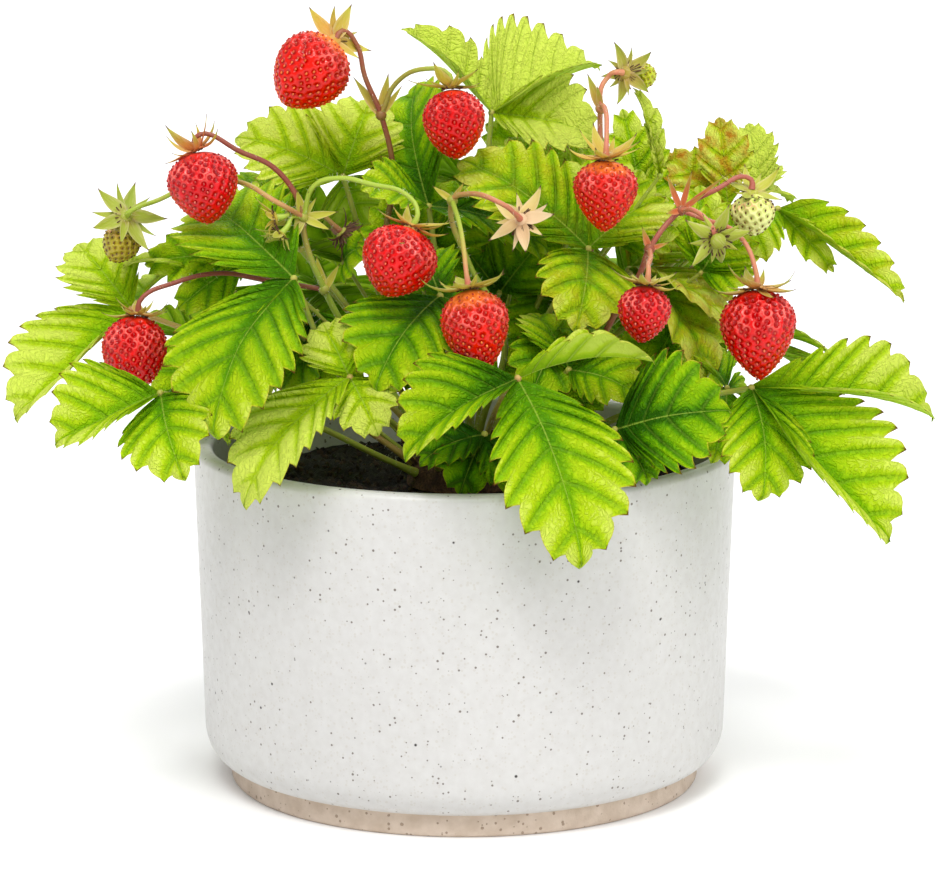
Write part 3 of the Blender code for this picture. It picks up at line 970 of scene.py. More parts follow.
@dataclass(frozen=True)
class StalkFinish:
    """A stalk: green or olive that blushes red or brown."""

    green: Colour = tint(160, 184, 56)
    olive: Colour = tint(128, 132, 40)
    pink: Colour = tint(204, 116, 98)
    brown: Colour = tint(124, 54, 32)
    skin: float = 0.00012
    soft: float = 0.15
    roughness: Pair = (0.45, 0.6)

    def make(self) -> Material:
        """The stalk's material; its look mark is blush, olive and down.

        Returns:
            The material.
        """
        coat = Coat("stalk", self.green)
        blush, olive, _ = coat.split(coat.mark("look"))
        streaks = coat.noise(coat.mark("flat"), 0.5, 3.0)
        body = coat.mix(olive, self.green, self.olive)
        red = coat.mix(olive, self.pink, self.brown)
        share = blush + (streaks - 0.5) * 0.7
        return coat.wear(
            Base_Color=coat.mix(share.clamped(), body, red),
            Normal=coat.bump(coat.noise(coat.place(), 1500.0, 3.0), self.skin, 0.6),
            Roughness=coat.rise(streaks, 0.3, 0.7, self.roughness),
            Subsurface_Weight=self.soft,
            Subsurface_Radius=(0.8, 0.9, 0.3),
            Subsurface_Scale=0.001,
        )


@dataclass(frozen=True)
class PlainFinish:
    """A small dry or downy thing: two colours that drift into each other along it."""

    name: str
    body: Mottle
    roughness: float

    def make(self, effects: Effects) -> Material:
        """The material.

        Args:
            effects: The shared shader groups.

        Returns:
            The material.
        """
        coat = Coat(self.name, self.body.light)
        colour, mask = self.body.put_on(coat, effects, coat.place())
        return coat.wear(Base_Color=colour, Normal=coat.bump(mask, 0.0001, 0.5), Roughness=self.roughness)


@dataclass(frozen=True)
class SepalFinish:
    """A sepal: green at its heart, paler or pinker towards the edge, with a dry brown tip."""

    green: Colour = tint(142, 174, 46)
    yellow: Colour = tint(216, 208, 70)
    pink: Colour = tint(224, 122, 70)
    pale: Colour = tint(238, 218, 176)
    heart: Colour = tint(168, 118, 66)
    tip: Colour = tint(104, 70, 44)
    through: float = 0.25
    roughness: Pair = (0.5, 0.65)

    def make(self) -> Material:
        """The sepal's material; its look mark is how pink, how yellow and how dry it is.

        Returns:
            The material.
        """
        coat = Coat("sepal", self.green)
        along, across, _ = coat.split(coat.mark("shape"))
        pink, yellow, dry = coat.split(coat.mark("look"))
        drawn = coat.put("ShaderNodeMapping", {0: coat.mark("flat"), "Scale": (3.0, 0.35, 1.0)})
        streaks = coat.noise(drawn, 0.9, 3.0)
        colour = coat.mix(yellow, self.green, self.yellow)
        colour = coat.mix((yellow - 1.0).clamped(), colour, self.pale)
        colour = coat.mix(coat.rise(along, 0.28, 0.0, (0.0, 0.45)), colour, self.heart)
        colour = coat.mix(pink * coat.rise(along, 0.95, 0.25, (0.15, 1.0)), colour, self.pink)
        colour = coat.mix(coat.rise(across, 0.55, 1.0) * 0.3, colour, self.pale)
        colour = coat.mix(coat.rise(streaks, 0.45, 0.75, (0.0, 0.25)), colour, self.pale)
        colour = coat.mix(coat.sum("MAXIMUM", coat.rise(along, 0.84, 0.95), dry), colour, self.tip)
        coat.glow_through(self.through, {"Color": colour})
        rough = coat.rise(streaks, 0.3, 0.7, self.roughness)
        return coat.wear(Base_Color=colour, Normal=coat.bump(streaks, 0.0002, 0.8), Roughness=rough)


class Ripeness(Enum):
    """How far a berry has come: the name of its finish."""

    SCARLET = "scarlet"
    RED = "red"
    CRIMSON = "crimson"
    WHITE = "white"
    TAN = "tan"
    GREEN = "green"

    @property
    def slot(self) -> str:
        """The record's material slot for such a berry."""
        ripe = self in (Ripeness.SCARLET, Ripeness.RED, Ripeness.CRIMSON)
        return "berry_ripe" if ripe else "berry_unripe"


@dataclass(frozen=True)
class FleshFinish:
    """A berry's glossy skin and its achenes.

    shoulder colours the top as far down as reach. The dark colour of the mottle also paints shade into
    the pits, and the ridge colour is a painted highlight: a pale pink on the rims of the pits in the upper
    third, where a fresh berry's wet gloss would catch the light.
    """

    body: Colour
    mottle_dark_and_pit_shade: Colour
    shoulder: Colour
    seed: Colour
    seed_dark: Colour
    reach: float
    ridge_highlight: Colour = tint(255, 142, 128)
    gloss: Pair = (0.08, 0.15)
    shine: float = 0.34
    soft: float = 0.03
    seed_gloss: Pair = (0.2, 0.32)

    def make(self, effects: Effects, name: str) -> Material:
        """The skin's material; its shape mark is the share from top to tip, the pit, and nothing.

        Args:
            effects: The shared shader groups.
            name: The end of the material's name.

        Returns:
            The material.
        """
        coat = Coat(f"flesh_{name}", self.body)
        fall, pit, _ = coat.split(coat.mark("shape"))
        place = coat.place()
        colour, mask = Mottle(150.0, 1.0, self.body, self.mottle_dark_and_pit_shade).put_on(coat, effects, place)
        # Painted shade: the pits are darkened towards the mottle's dark colour.
        colour = coat.mix(pit * 0.85, colour, self.mottle_dark_and_pit_shade)
        # Painted highlight: the rims of the pits in the upper third are lightened towards pale pink, in
        # patches.
        rim_highlight = coat.rise(pit, 0.05, 0.22) * coat.rise(pit, 0.62, 0.4)
        glint = coat.rise(coat.noise(place, 260.0, 2.0), 0.4, 0.6, (0.05, 0.48))
        high = coat.rise(fall, 0.06, 0.14) * coat.rise(fall, 0.5, 0.26)
        colour = coat.mix(rim_highlight * glint * high, colour, self.ridge_highlight)
        drift = (coat.noise(place, 220.0) - 0.5) * 0.16
        colour = coat.mix(coat.rise(fall + drift, self.reach, 0.0), colour, self.shoulder)
        return coat.wear(
            Base_Color=colour,
            Normal=coat.bump(coat.noise(place, 900.0, 2.0), 0.0001, 0.5),
            Roughness=coat.rise(mask, 0.0, 1.0, self.gloss),
            Specular_IOR_Level=self.shine,
            Subsurface_Weight=self.soft,
            Subsurface_Radius=(1.0, 0.2, 0.1),
            Subsurface_Scale=0.0008,
        )

    def make_seed(self, effects: Effects, name: str) -> Material:
        """The achenes' material: dark towards the shoulder, and pale lower down.

        Args:
            effects: The shared shader groups.
            name: The end of the material's name.

        Returns:
            The material.
        """
        coat = Coat(f"achene_{name}", self.seed)
        colour, mask = Mottle(420.0, 2.0, self.seed, self.seed_dark).put_on(coat, effects, coat.place())
        fall = coat.put("ShaderNodeAttribute", output="Fac", attribute_name="fall")
        return coat.wear(
            Base_Color=coat.mix(coat.rise(fall, 0.3, 0.6), self.seed_dark, colour),
            Normal=coat.bump(mask, 0.0001, 0.5),
            Roughness=coat.rise(mask, 0.0, 1.0, self.seed_gloss),
        )


def flesh(reach: float, *shades: tuple[int, int, int]) -> FleshFinish:
    """A berry's finish from its display colours: body, the dark of its mottle and painted pit shade,
    shoulder, pale seed and dark seed.
    """
    return FleshFinish(*[tint(*shade) for shade in shades], reach)


FLESH = {
    Ripeness.SCARLET: flesh(0.2, (253, 24, 0), (172, 4, 0), (246, 130, 52), (250, 138, 58), (172, 40, 12)),
    Ripeness.RED: flesh(0.08, (253, 0, 3), (164, 0, 2), (238, 58, 34), (248, 128, 82), (166, 16, 14)),
    Ripeness.CRIMSON: flesh(0.1, (250, 0, 16), (160, 0, 7), (236, 80, 66), (248, 124, 100), (158, 14, 26)),
    Ripeness.WHITE: flesh(
        0.3, (238, 240, 170), (210, 218, 116), (212, 226, 110), (126, 104, 30), (92, 62, 20)
    ),
    Ripeness.TAN: flesh(0.3, (196, 184, 60), (160, 140, 36), (176, 190, 50), (140, 92, 30), (80, 50, 16)),
    Ripeness.GREEN: flesh(0.3, (204, 210, 46), (166, 178, 26), (176, 196, 46), (190, 140, 20), (116, 86, 20)),
}
SOIL = Mottle(240.0, 2.6, tint(52, 40, 30), tint(16, 12, 9))
CRUMB = Mottle(180.0, 2.6, tint(88, 66, 46), tint(24, 17, 12))
BARK = Mottle(300.0, 2.6, tint(120, 84, 52), tint(44, 26, 16))
DOWN = Mottle(900.0, 2.0, tint(236, 236, 214), tint(206, 206, 176))
STAMEN = Mottle(900.0, 2.0, tint(120, 84, 52), tint(52, 32, 22))


class Palette:
    """Every material of the plant and its pot, made once."""

    def __init__(self) -> None:
        """Builds the shared effects and then each finish."""
        effects = Effects()
        self.glaze = GlazeFinish().make(effects)
        self.clay = ClayFinish().make(effects)
        self.soil = EarthFinish("soil", SOIL, 0.0012).make(effects)
        self.crumb = EarthFinish("soil_crumb", CRUMB, 0.0006).make(effects)
        self.bark = EarthFinish("crown_bark", BARK, 0.0006).make(effects)
        self.upper = UPPER_FACE.make(effects)
        self.under = UNDER_FACE.make(effects)
        self.stalk = StalkFinish().make()
        self.down = PlainFinish("down", DOWN, 0.7).make(effects)
        self.sepal = SepalFinish().make()
        self.stamen = PlainFinish("stamen", STAMEN, 0.8).make(effects)
        self.flesh = {ripe: finish.make(effects, ripe.value) for ripe, finish in FLESH.items()}
        self.seed = {ripe: finish.make_seed(effects, ripe.value) for ripe, finish in FLESH.items()}


# --- Geometry Nodes ---


def grown(obj: Object, tree: NodeTree, values: dict[str, object]) -> None:
    """Runs a node tree on an object once and keeps the result as its plain mesh.

    Args:
        obj: The object, whose mesh is the tree's geometry.
        tree: A geometry node tree.
        values: Its other inputs by name.
    """
    modifier = obj.modifiers.new(tree.name, "NODES")
    modifier.node_group = tree
    for item in tree.interface.items_tree:
        if item.item_type == "SOCKET" and item.in_out == "INPUT" and item.name in values:
            modifier[item.identifier] = values[item.name]
    graph = bpy.context.evaluated_depsgraph_get()
    graph.update()
    mesh = bpy.data.meshes.new_from_object(obj.evaluated_get(graph))
    obj.modifiers.clear()
    spare = obj.data
    obj.data = mesh
    bpy.data.meshes.remove(spare)
    mesh.name = obj.name


class Sprinkle(Wiring):
    """A geometry tree that sets small copies on a surface and keeps the surface."""

    def __init__(self, name: str, inputs: dict[str, str]) -> None:
        """Starts the tree with the surface, the given inputs and the copies' finish.

        Args:
            name: The name of the tree.
            inputs: Types of its own inputs by name.
        """
        sockets = {"Surface": GEOMETRY, **inputs, "Finish": MATERIAL}
        tree, given, self.result = new_group(name, "GeometryNodeTree", sockets, {"Geometry": GEOMETRY})
        super().__init__(tree)
        self.given = {label: Value(self, given.outputs[label]) for label in sockets}

    def random(self, low: object, high: object, seed: int) -> Value:
        """A random number, or a random vector between two, for each point.

        Args:
            low: The least value.
            high: The greatest value.
            seed: Picks the draws.

        Returns:
            The number or the vector.
        """
        first, kind = (0, "FLOAT_VECTOR") if isinstance(low, tuple) else (2, "FLOAT")
        values = {first: low, first + 1: high, "Seed": seed}
        return self.put("FunctionNodeRandomValue", values, first // 2, data_type=kind)

    def rotation(self, low: Point, high: Point, seed: int) -> Value:
        """A random rotation for each point, between two sets of angles."""
        return self.put("FunctionNodeEulerToRotation", {0: self.random(low, high, seed)})

    def strewn(self) -> tuple[Value, Value]:
        """Points and their rotations on the faces where the look mark's third number is above a half.

        Returns:
            The points and the rotations.
        """
        look = self.put("GeometryNodeInputNamedAttribute", {"Name": "look"}, data_type="FLOAT_VECTOR")
        inputs = {
            "Mesh": self.given["Surface"],
            "Selection": self.sum("GREATER_THAN", self.split(look)[2], 0.5),
            "Density": self.given["Density"],
            "Seed": self.given["Seed"],
        }
        outputs = self.node("GeometryNodeDistributePointsOnFaces", inputs).outputs
        return Value(self, outputs["Points"]), Value(self, outputs["Rotation"])

    def close(self, points: Value, copy: Value, turn: Value, size: Value, smooth: bool = False) -> NodeTree:
        """Sets a copy on each point, makes the copies real, dresses them and joins them to the surface.

        Args:
            points: The points.
            copy: The mesh that is copied.
            turn: Its rotation at each point.
            size: Its scale at each point.
            smooth: Whether the copies are shaded smooth.

        Returns:
            The finished tree.
        """
        inputs = {"Points": points, "Instance": copy, "Rotation": turn, "Scale": size}
        placed = self.put("GeometryNodeInstanceOnPoints", inputs)
        if smooth:
            placed = self.put("GeometryNodeSetShadeSmooth", {"Geometry": placed})
        real = self.put("GeometryNodeRealizeInstances", {0: placed})
        dressed = self.put("GeometryNodeSetMaterial", {"Geometry": real, "Material": self.given["Finish"]})
        joined = self.node("GeometryNodeJoinGeometry")
        self.feed(joined.inputs[0], dressed)
        self.feed(joined.inputs[0], self.given["Surface"])
        self.feed(self.result.inputs[0], Value(self, joined.outputs[0]))
        return self.tree


def down_tree() -> NodeTree:
    """Short hairs that stand on the marked faces and lean a little.

    Returns:
        The tree.
    """
    tree = Sprinkle("down", {"Density": FLOAT, "Length": FLOAT, "Radius": FLOAT, "Seed": WHOLE})
    points, upright = tree.strewn()
    sizes = {"Radius Top": 0.0, "Radius Bottom": tree.given["Radius"], "Depth": tree.given["Length"]}
    hair = tree.put("GeometryNodeMeshCone", {"Vertices": 3, **sizes}, "Mesh", fill_type="NONE")
    lean = tree.rotation((-0.6, -0.6, -0.6), (0.6, 0.6, 0.6), 4)
    turn = tree.put("FunctionNodeRotateRotation", {0: upright, 1: lean}, rotation_space="LOCAL")
    return tree.close(points, hair, turn, tree.random(0.5, 1.1, 9))


def crumb_tree() -> NodeTree:
    """Lumps of many sizes, turned every way, on the marked faces.

    Returns:
        The tree.
    """
    tree = Sprinkle("crumbs", {"Density": FLOAT, "Radius": FLOAT, "Seed": WHOLE})
    points, _ = tree.strewn()
    sizes = {"Segments": 6, "Rings": 4, "Radius": tree.given["Radius"]}
    lump = tree.put("GeometryNodeMeshUVSphere", sizes, "Mesh")
    turn = tree.rotation((0.0, 0.0, 0.0), (6.3, 6.3, 6.3), 2)
    return tree.close(points, lump, turn, tree.random((0.25, 0.3, 0.2), (1.2, 1.0, 0.8), 5))


def achene_tree() -> NodeTree:
    """An achene on each point of another object, turned as that point's turn says.

    Returns:
        The tree.
    """
    tree = Sprinkle("achenes", {"Seats": OBJECT, "Length": FLOAT})
    seats = tree.put("GeometryNodeObjectInfo", {"Object": tree.given["Seats"]}, "Geometry")
    turn = tree.put("GeometryNodeInputNamedAttribute", {"Name": "turn"}, data_type="QUATERNION")
    ball = tree.put("GeometryNodeMeshUVSphere", {"Segments": 7, "Rings": 5, "Radius": 0.5}, "Mesh")
    seed = tree.put("GeometryNodeTransform", {"Geometry": ball, "Scale": (0.66, 1.0, 0.56)})
    return tree.close(seats, seed, turn, tree.given["Length"] * tree.random(0.85, 1.12, 7), smooth=True)


class Workshop:
    """The materials and geometry trees that every sub-assembly dresses its pieces with."""

    def __init__(self) -> None:
        """Makes each material and each tree once."""
        self.palette = Palette()
        self.down = down_tree()
        self.crumbs = crumb_tree()
        self.achenes = achene_tree()

    def hand_over(self, obj: Object, node: str | None = None) -> None:
        """Makes a piece ride on the body, in place of the node that it stands for, whose own mesh it hides.

        Args:
            obj: The finished piece.
            node: The construction node that it replaces, if it replaces one.
        """
        if node:
            obj.name = f"{node}_look"
            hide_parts(node)
        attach(obj, BODY)
        LOG.info("%s: %d faces", obj.name, len(obj.data.polygons))

    def grow_down(self, obj: Object, density: float, length: float, seed: int) -> None:
        """Grows hairs on a piece's marked faces; density is hairs a square millimetre."""
        sizes = {"Density": density / MM**2, "Length": length * MM, "Radius": 0.045 * MM}
        grown(obj, self.down, {**sizes, "Finish": self.palette.down, "Seed": seed})


# --- Pot, soil and crown ---


@dataclass
class Pot:
    """Turned stoneware pot: a glazed cylinder that steps in to a bare clay foot."""

    rim_radius: float = 70.0
    bottom_radius: float = 67.8
    height: float = 88.5
    wall: float = 5.0
    lip_round: float = 2.0
    foot_radius: float = 61.1
    foot_height: float = 6.0
    foot_hollow: float = 6.0
    foot_ease: float = 0.8
    heel_step: float = 0.5
    heel_height: float = 8.5
    floor: float = 9.0
    corner: float = 4.0
    segments: int = 160
    waver: float = 0.12
    sharp: float = math.radians(50.0)

    def profile(self) -> tuple[Array, int]:
        """The turned outline, from the axis underneath to the axis inside.

        Returns:
            The outline, and how many of its first points are bare clay.
        """
        foot, ease, lip = self.foot_radius, self.foot_ease, self.lip_round
        clay = [(0.0, 0.0), (foot - self.foot_hollow, 0.0)]
        clay += arc((foot - ease, ease), (ease, ease), -90.0, 0.0, 5)
        clay += [(foot, z) for z in np.linspace(2.0 * ease, self.foot_height - 0.4, 4)]
        clay += [(foot + 0.1, self.foot_height)]
        top = self.height - lip
        heel_start, low = foot + self.heel_step, self.foot_height + self.heel_height
        heel = arc((heel_start, low), (self.bottom_radius - heel_start, self.heel_height), -90.0, 0.0, 9)
        wall = line((self.bottom_radius, low), (self.rim_radius, top), 25)
        outer_lip = arc((self.rim_radius - lip, top), (lip, lip), 0.0, 90.0, 9)[1:]
        inner, inner_bottom = self.rim_radius - self.wall, self.bottom_radius - self.wall
        inner_lip = arc((inner + lip, top), (lip, lip), 90.0, 180.0, 9)
        inside = line((inner, top), (inner_bottom, self.floor + self.corner), 13)
        corner = (inner_bottom - self.corner, self.floor + self.corner)
        inside += arc(corner, (self.corner, self.corner), 0.0, -90.0, 5)[1:] + [(0.0, self.floor)]
        return np.array(clay + heel + wall + outer_lip + inner_lip + inside), len(clay)

    def build(self, shop: Workshop) -> None:
        """Casts the pot with its glaze and its clay foot.

        Args:
            shop: The materials and trees that dress the piece.
        """
        outline, clay_points = self.profile()
        part = turned(outline, self.segments, self.waver)
        part.points[:, 2] = np.maximum(part.points[:, 2], 0.0)
        bare = np.arange(len(outline) - 1) < clay_points
        mould = Mould("pot")
        mould.add(part, np.repeat(bare.astype(int), self.segments))
        obj = mould.cast([shop.palette.glaze, shop.palette.clay], self.sharp)
        shop.hand_over(obj, "pot")


@dataclass
class Soil:
    """Potting soil: a closed plug with a lumpy top under loose crumbs."""

    top: float = 77.0
    radius: float = 64.4
    bottom: float = 9.3
    bottom_radius: float = 62.1
    corner: float = 4.0
    lump: float = 1.6
    rings: int = 60
    segments: int = 150
    crumb: float = 1.15
    crumbs_per_mm2: float = 0.13

    def build(self, shop: Workshop) -> None:
        """Casts the soil and strews its crumbs.

        Args:
            shop: The materials and trees that dress the piece.
        """
        edge = self.top - self.lump
        profile = [(0.0, self.bottom), (self.bottom_radius - self.corner, self.bottom)]
        profile += [(self.bottom_radius, self.bottom + self.corner), (self.radius, edge)]
        profile += [(r, self.top - 0.5) for r in self.radius * np.linspace(1.0, 0.0, self.rings)[1:]]
        part = turned(np.array(profile), self.segments)
        x, y, z = part.points.T
        upper = z > edge - 0.01
        lumps = 0.5 * (np.sin(x / 7.0 + 1.3) * np.cos(y / 6.0) + np.sin((x + 2.0 * y) / 9.0)) - 0.3
        spread = np.hypot(x, y)
        lumps = self.lump * eased(14.0, 22.0, spread) * lumps
        fine = 0.55 * ripple(part.points[:, :2], 5.0, 11) + 0.35 * ripple(part.points[:, :2], 2.2, 12)
        part.points[:, 2] += upper * (eased(0.3, 2.0, self.radius - spread) * (lumps + fine) - 0.3)
        flags = np.zeros_like(part.points)
        flags[:, 2] = part.points[:, 2] > self.top - 4.0
        part.look = flags
        mould = Mould("soil")
        mould.add(part)
        obj = mould.cast([shop.palette.soil], sharp=math.pi)
        sizes = {"Density": self.crumbs_per_mm2 / MM**2, "Radius": self.crumb * MM}
        grown(obj, shop.crumbs, {**sizes, "Finish": shop.palette.crumb, "Seed": 5})
        shop.hand_over(obj, "soil")


@dataclass
class Crown:
    """The short woody stock, wrapped in the dry stipules of old leaves."""

    radius: float = 15.0
    height: float = 11.0
    base: float = 77.3
    stipules: int = 26
    stalk_rise: float = 7.0

    def seat(self, target: Array) -> tuple[Array, Array]:
        """Where a stalk that heads for a point leaves the crown, and the way out there.

        Args:
            target: The point, in millimetres.

        Returns:
            The seat and the outward direction.
        """
        rise = target - self.base * UP
        around = math.atan2(rise[1], rise[0])
        above = math.atan2(rise[2], math.hypot(rise[0], rise[1]))
        ring = self.radius * math.cos(above)
        point = np.array((ring * math.cos(around), ring * math.sin(around), self.height * math.sin(above)))
        out = unit(point / np.array((self.radius, self.radius, self.height)) ** 2)
        return point + self.base * UP + 0.4 * out, out

    def root(self, target: Array) -> list[Array]:
        """A stalk's first two points: its seat, and where it is clear of the crown."""
        seat, out = self.seat(target)
        return [seat, seat + self.stalk_rise * out]

    def build(self, shop: Workshop) -> None:
        """Casts the stock and its stipules.

        Args:
            shop: The materials and trees that dress the piece.
        """
        dome = arc((0.0, self.base), (self.radius, self.height), 0.0, 90.0, 18)[:-1]
        outline = np.array([(0.0, self.base)] + dome + [(0.0, self.base + self.height)])
        part = turned(outline, 64)
        rough = 0.5 * ripple(part.points, 6.0, 21) + 0.3 * ripple(part.points, 2.5, 22)
        inner = eased(0.0, 2.0, part.points[:, 2] - self.base)
        heading = rows_at_one(part.points - (self.base - 2.0) * UP)
        part.points = part.points + heading * (rough * inner)[:, None] * 0.8
        mould = Mould("crown")
        mould.add(part)
        rng = np.random.default_rng(31)
        for k in range(self.stipules):
            around = 2.4 * k
            above = math.radians(rng.uniform(12.0, 70.0))
            flat = math.cos(above)
            way = np.array((math.cos(around) * flat, math.sin(around) * flat, math.sin(above)))
            seat, out = self.seat(self.base * UP + 60.0 * way)
            tip = seat + unit(out + 1.2 * UP) * rng.uniform(5.0, 9.0)
            mould.add(scale_part(seat - 0.8 * out, tip, rng.uniform(3.0, 4.6), (0.0, 0.0, 0.0), 0.6), 1)
        obj = mould.cast([shop.palette.bark, shop.palette.stamen])
        shop.hand_over(obj, "crown")


def scale_part(base: Array, tip: Array, width: float, look: Point, bend: float, face: Array = UP) -> Part:
    """A thin pointed scale, such as a bract, a stipule or a sepal.

    Args:
        base: Where it is attached.
        tip: Its point.
        width: Its greatest width.
        look: Its look mark.
        bend: How far it turns towards its face from end to end, in radians.
        face: The way its upper face looks, roughly.

    Returns:
        The part; its shape mark is the share along it and the share across it.
    """
    rows, columns, thickness = 11, 5, 0.16
    length = float(np.linalg.norm(tip - base))
    axis = (tip - base) / length
    normal = face - axis * (face @ axis)
    normal = unit(normal) if np.linalg.norm(normal) > TINY else frame_towards(axis)[:, 0]
    side = np.cross(axis, normal)
    t = np.linspace(0.0, 1.0, rows)[:, None]
    s = np.linspace(-1.0, 1.0, columns)[None, :]
    half = 0.5 * width * (0.42 * (1.0 - t) ** 2 + np.sin(math.pi * t**0.75) ** 0.9) * (1.0 - t) ** 0.25
    half[-1] = 0.0
    x = half * s
    slope = bend * (t - 0.5)
    sweep = 0.5 * length / math.sin(0.5 * bend)
    y = sweep * (np.sin(slope) + math.sin(0.5 * bend)) * np.ones_like(s)
    z = sweep * (math.cos(0.5 * bend) - np.cos(slope)) + 0.35 * np.abs(x)
    loft = 0.5 * thickness * (1.0 - np.abs(s) ** 4) * np.ones_like(t)
    loft[0] = 0.5 * thickness
    loft[:, [0, -1]] = 0.0
    middle = base + x[..., None] * side + y[..., None] * axis
    skins = [middle + (z + sign * loft)[..., None] * normal for sign in (1.0, -1.0)]
    points = np.concatenate([skin.reshape(-1, 3) for skin in skins])
    count = rows * columns
    k = np.arange(columns - 1)
    root = np.stack([k + 1, k, k + count, k + 1 + count], axis=-1)
    quads = np.vstack([grid_quads(rows, columns), grid_quads(rows, columns, start=count)[:, ::-1], root])
    shape = np.stack([t * np.ones_like(s), np.abs(s) * np.ones_like(t), np.zeros_like(x)], axis=-1)
    flat = np.stack([x, y, np.zeros_like(x)], axis=-1)
    marks = [np.tile(mark.reshape(-1, 3), (2, 1)) for mark in (shape, flat)]
    return Part(points, quads, *marks, look)


# --- Leaves ---


VIEWER = (0.0, -1.0, 0.5)


def half_shown(right: float, up: float) -> Point:
    """The way that a deeply folded leaflet looks when a viewer in front sees one half of it.

    Args:
        right: How far to the right of the midrib the visible half goes.
        up: How far above the midrib it goes.

    Returns:
        The direction midway between the viewer's and the visible half's.
    """
    half = unit(np.array((right, 0.195 * up, 0.98 * up)))
    return tuple(half + np.array((0.0, -0.98, 0.195)))


@dataclass(frozen=True)
class Blade:
    """A leaflet of the plan.

    face is the way that its upper side looks if it doesn't look up, roll turns it on its midrib in
    degrees, fold is how far each half rises from flat in radians, arch is its bow as a share of its
    length, tone is how much yellower it is than its leaf, and widest is the share of its length at
    which it is widest.
    """

    tip: Point
    width: float
    face: Point | None = None
    roll: float = 0.0
    fold: float = 0.25
    arch: float = 0.07
    tone: float = 0.0
    widest: float = 0.56


@dataclass(frozen=True)
class LeafPlan:
    """A leaf of the plan: where its stalk ends, its leaflets, and how it looks.

    bend is a point that the stalk passes through. tone goes from 0, deep green, to 1, yellow green,
    and rust and blush from 0 to 1.
    """

    hub: Point
    blades: tuple[Blade, ...]
    bend: Point | None = None
    tone: float = 0.5
    rust: float = 0.0
    blush: float = 0.1


class Detail(Enum):
    """How finely a leaflet is meshed: its stations before and through a tooth, and its columns."""

    FINE = ((0.0, 0.35, 0.62, 0.84), (0.0, 0.1, 0.2, 0.36, 0.54, 0.72, 0.88), 9)
    PLAIN = ((0.0, 0.5), (0.0, 0.2, 0.5, 0.78), 6)


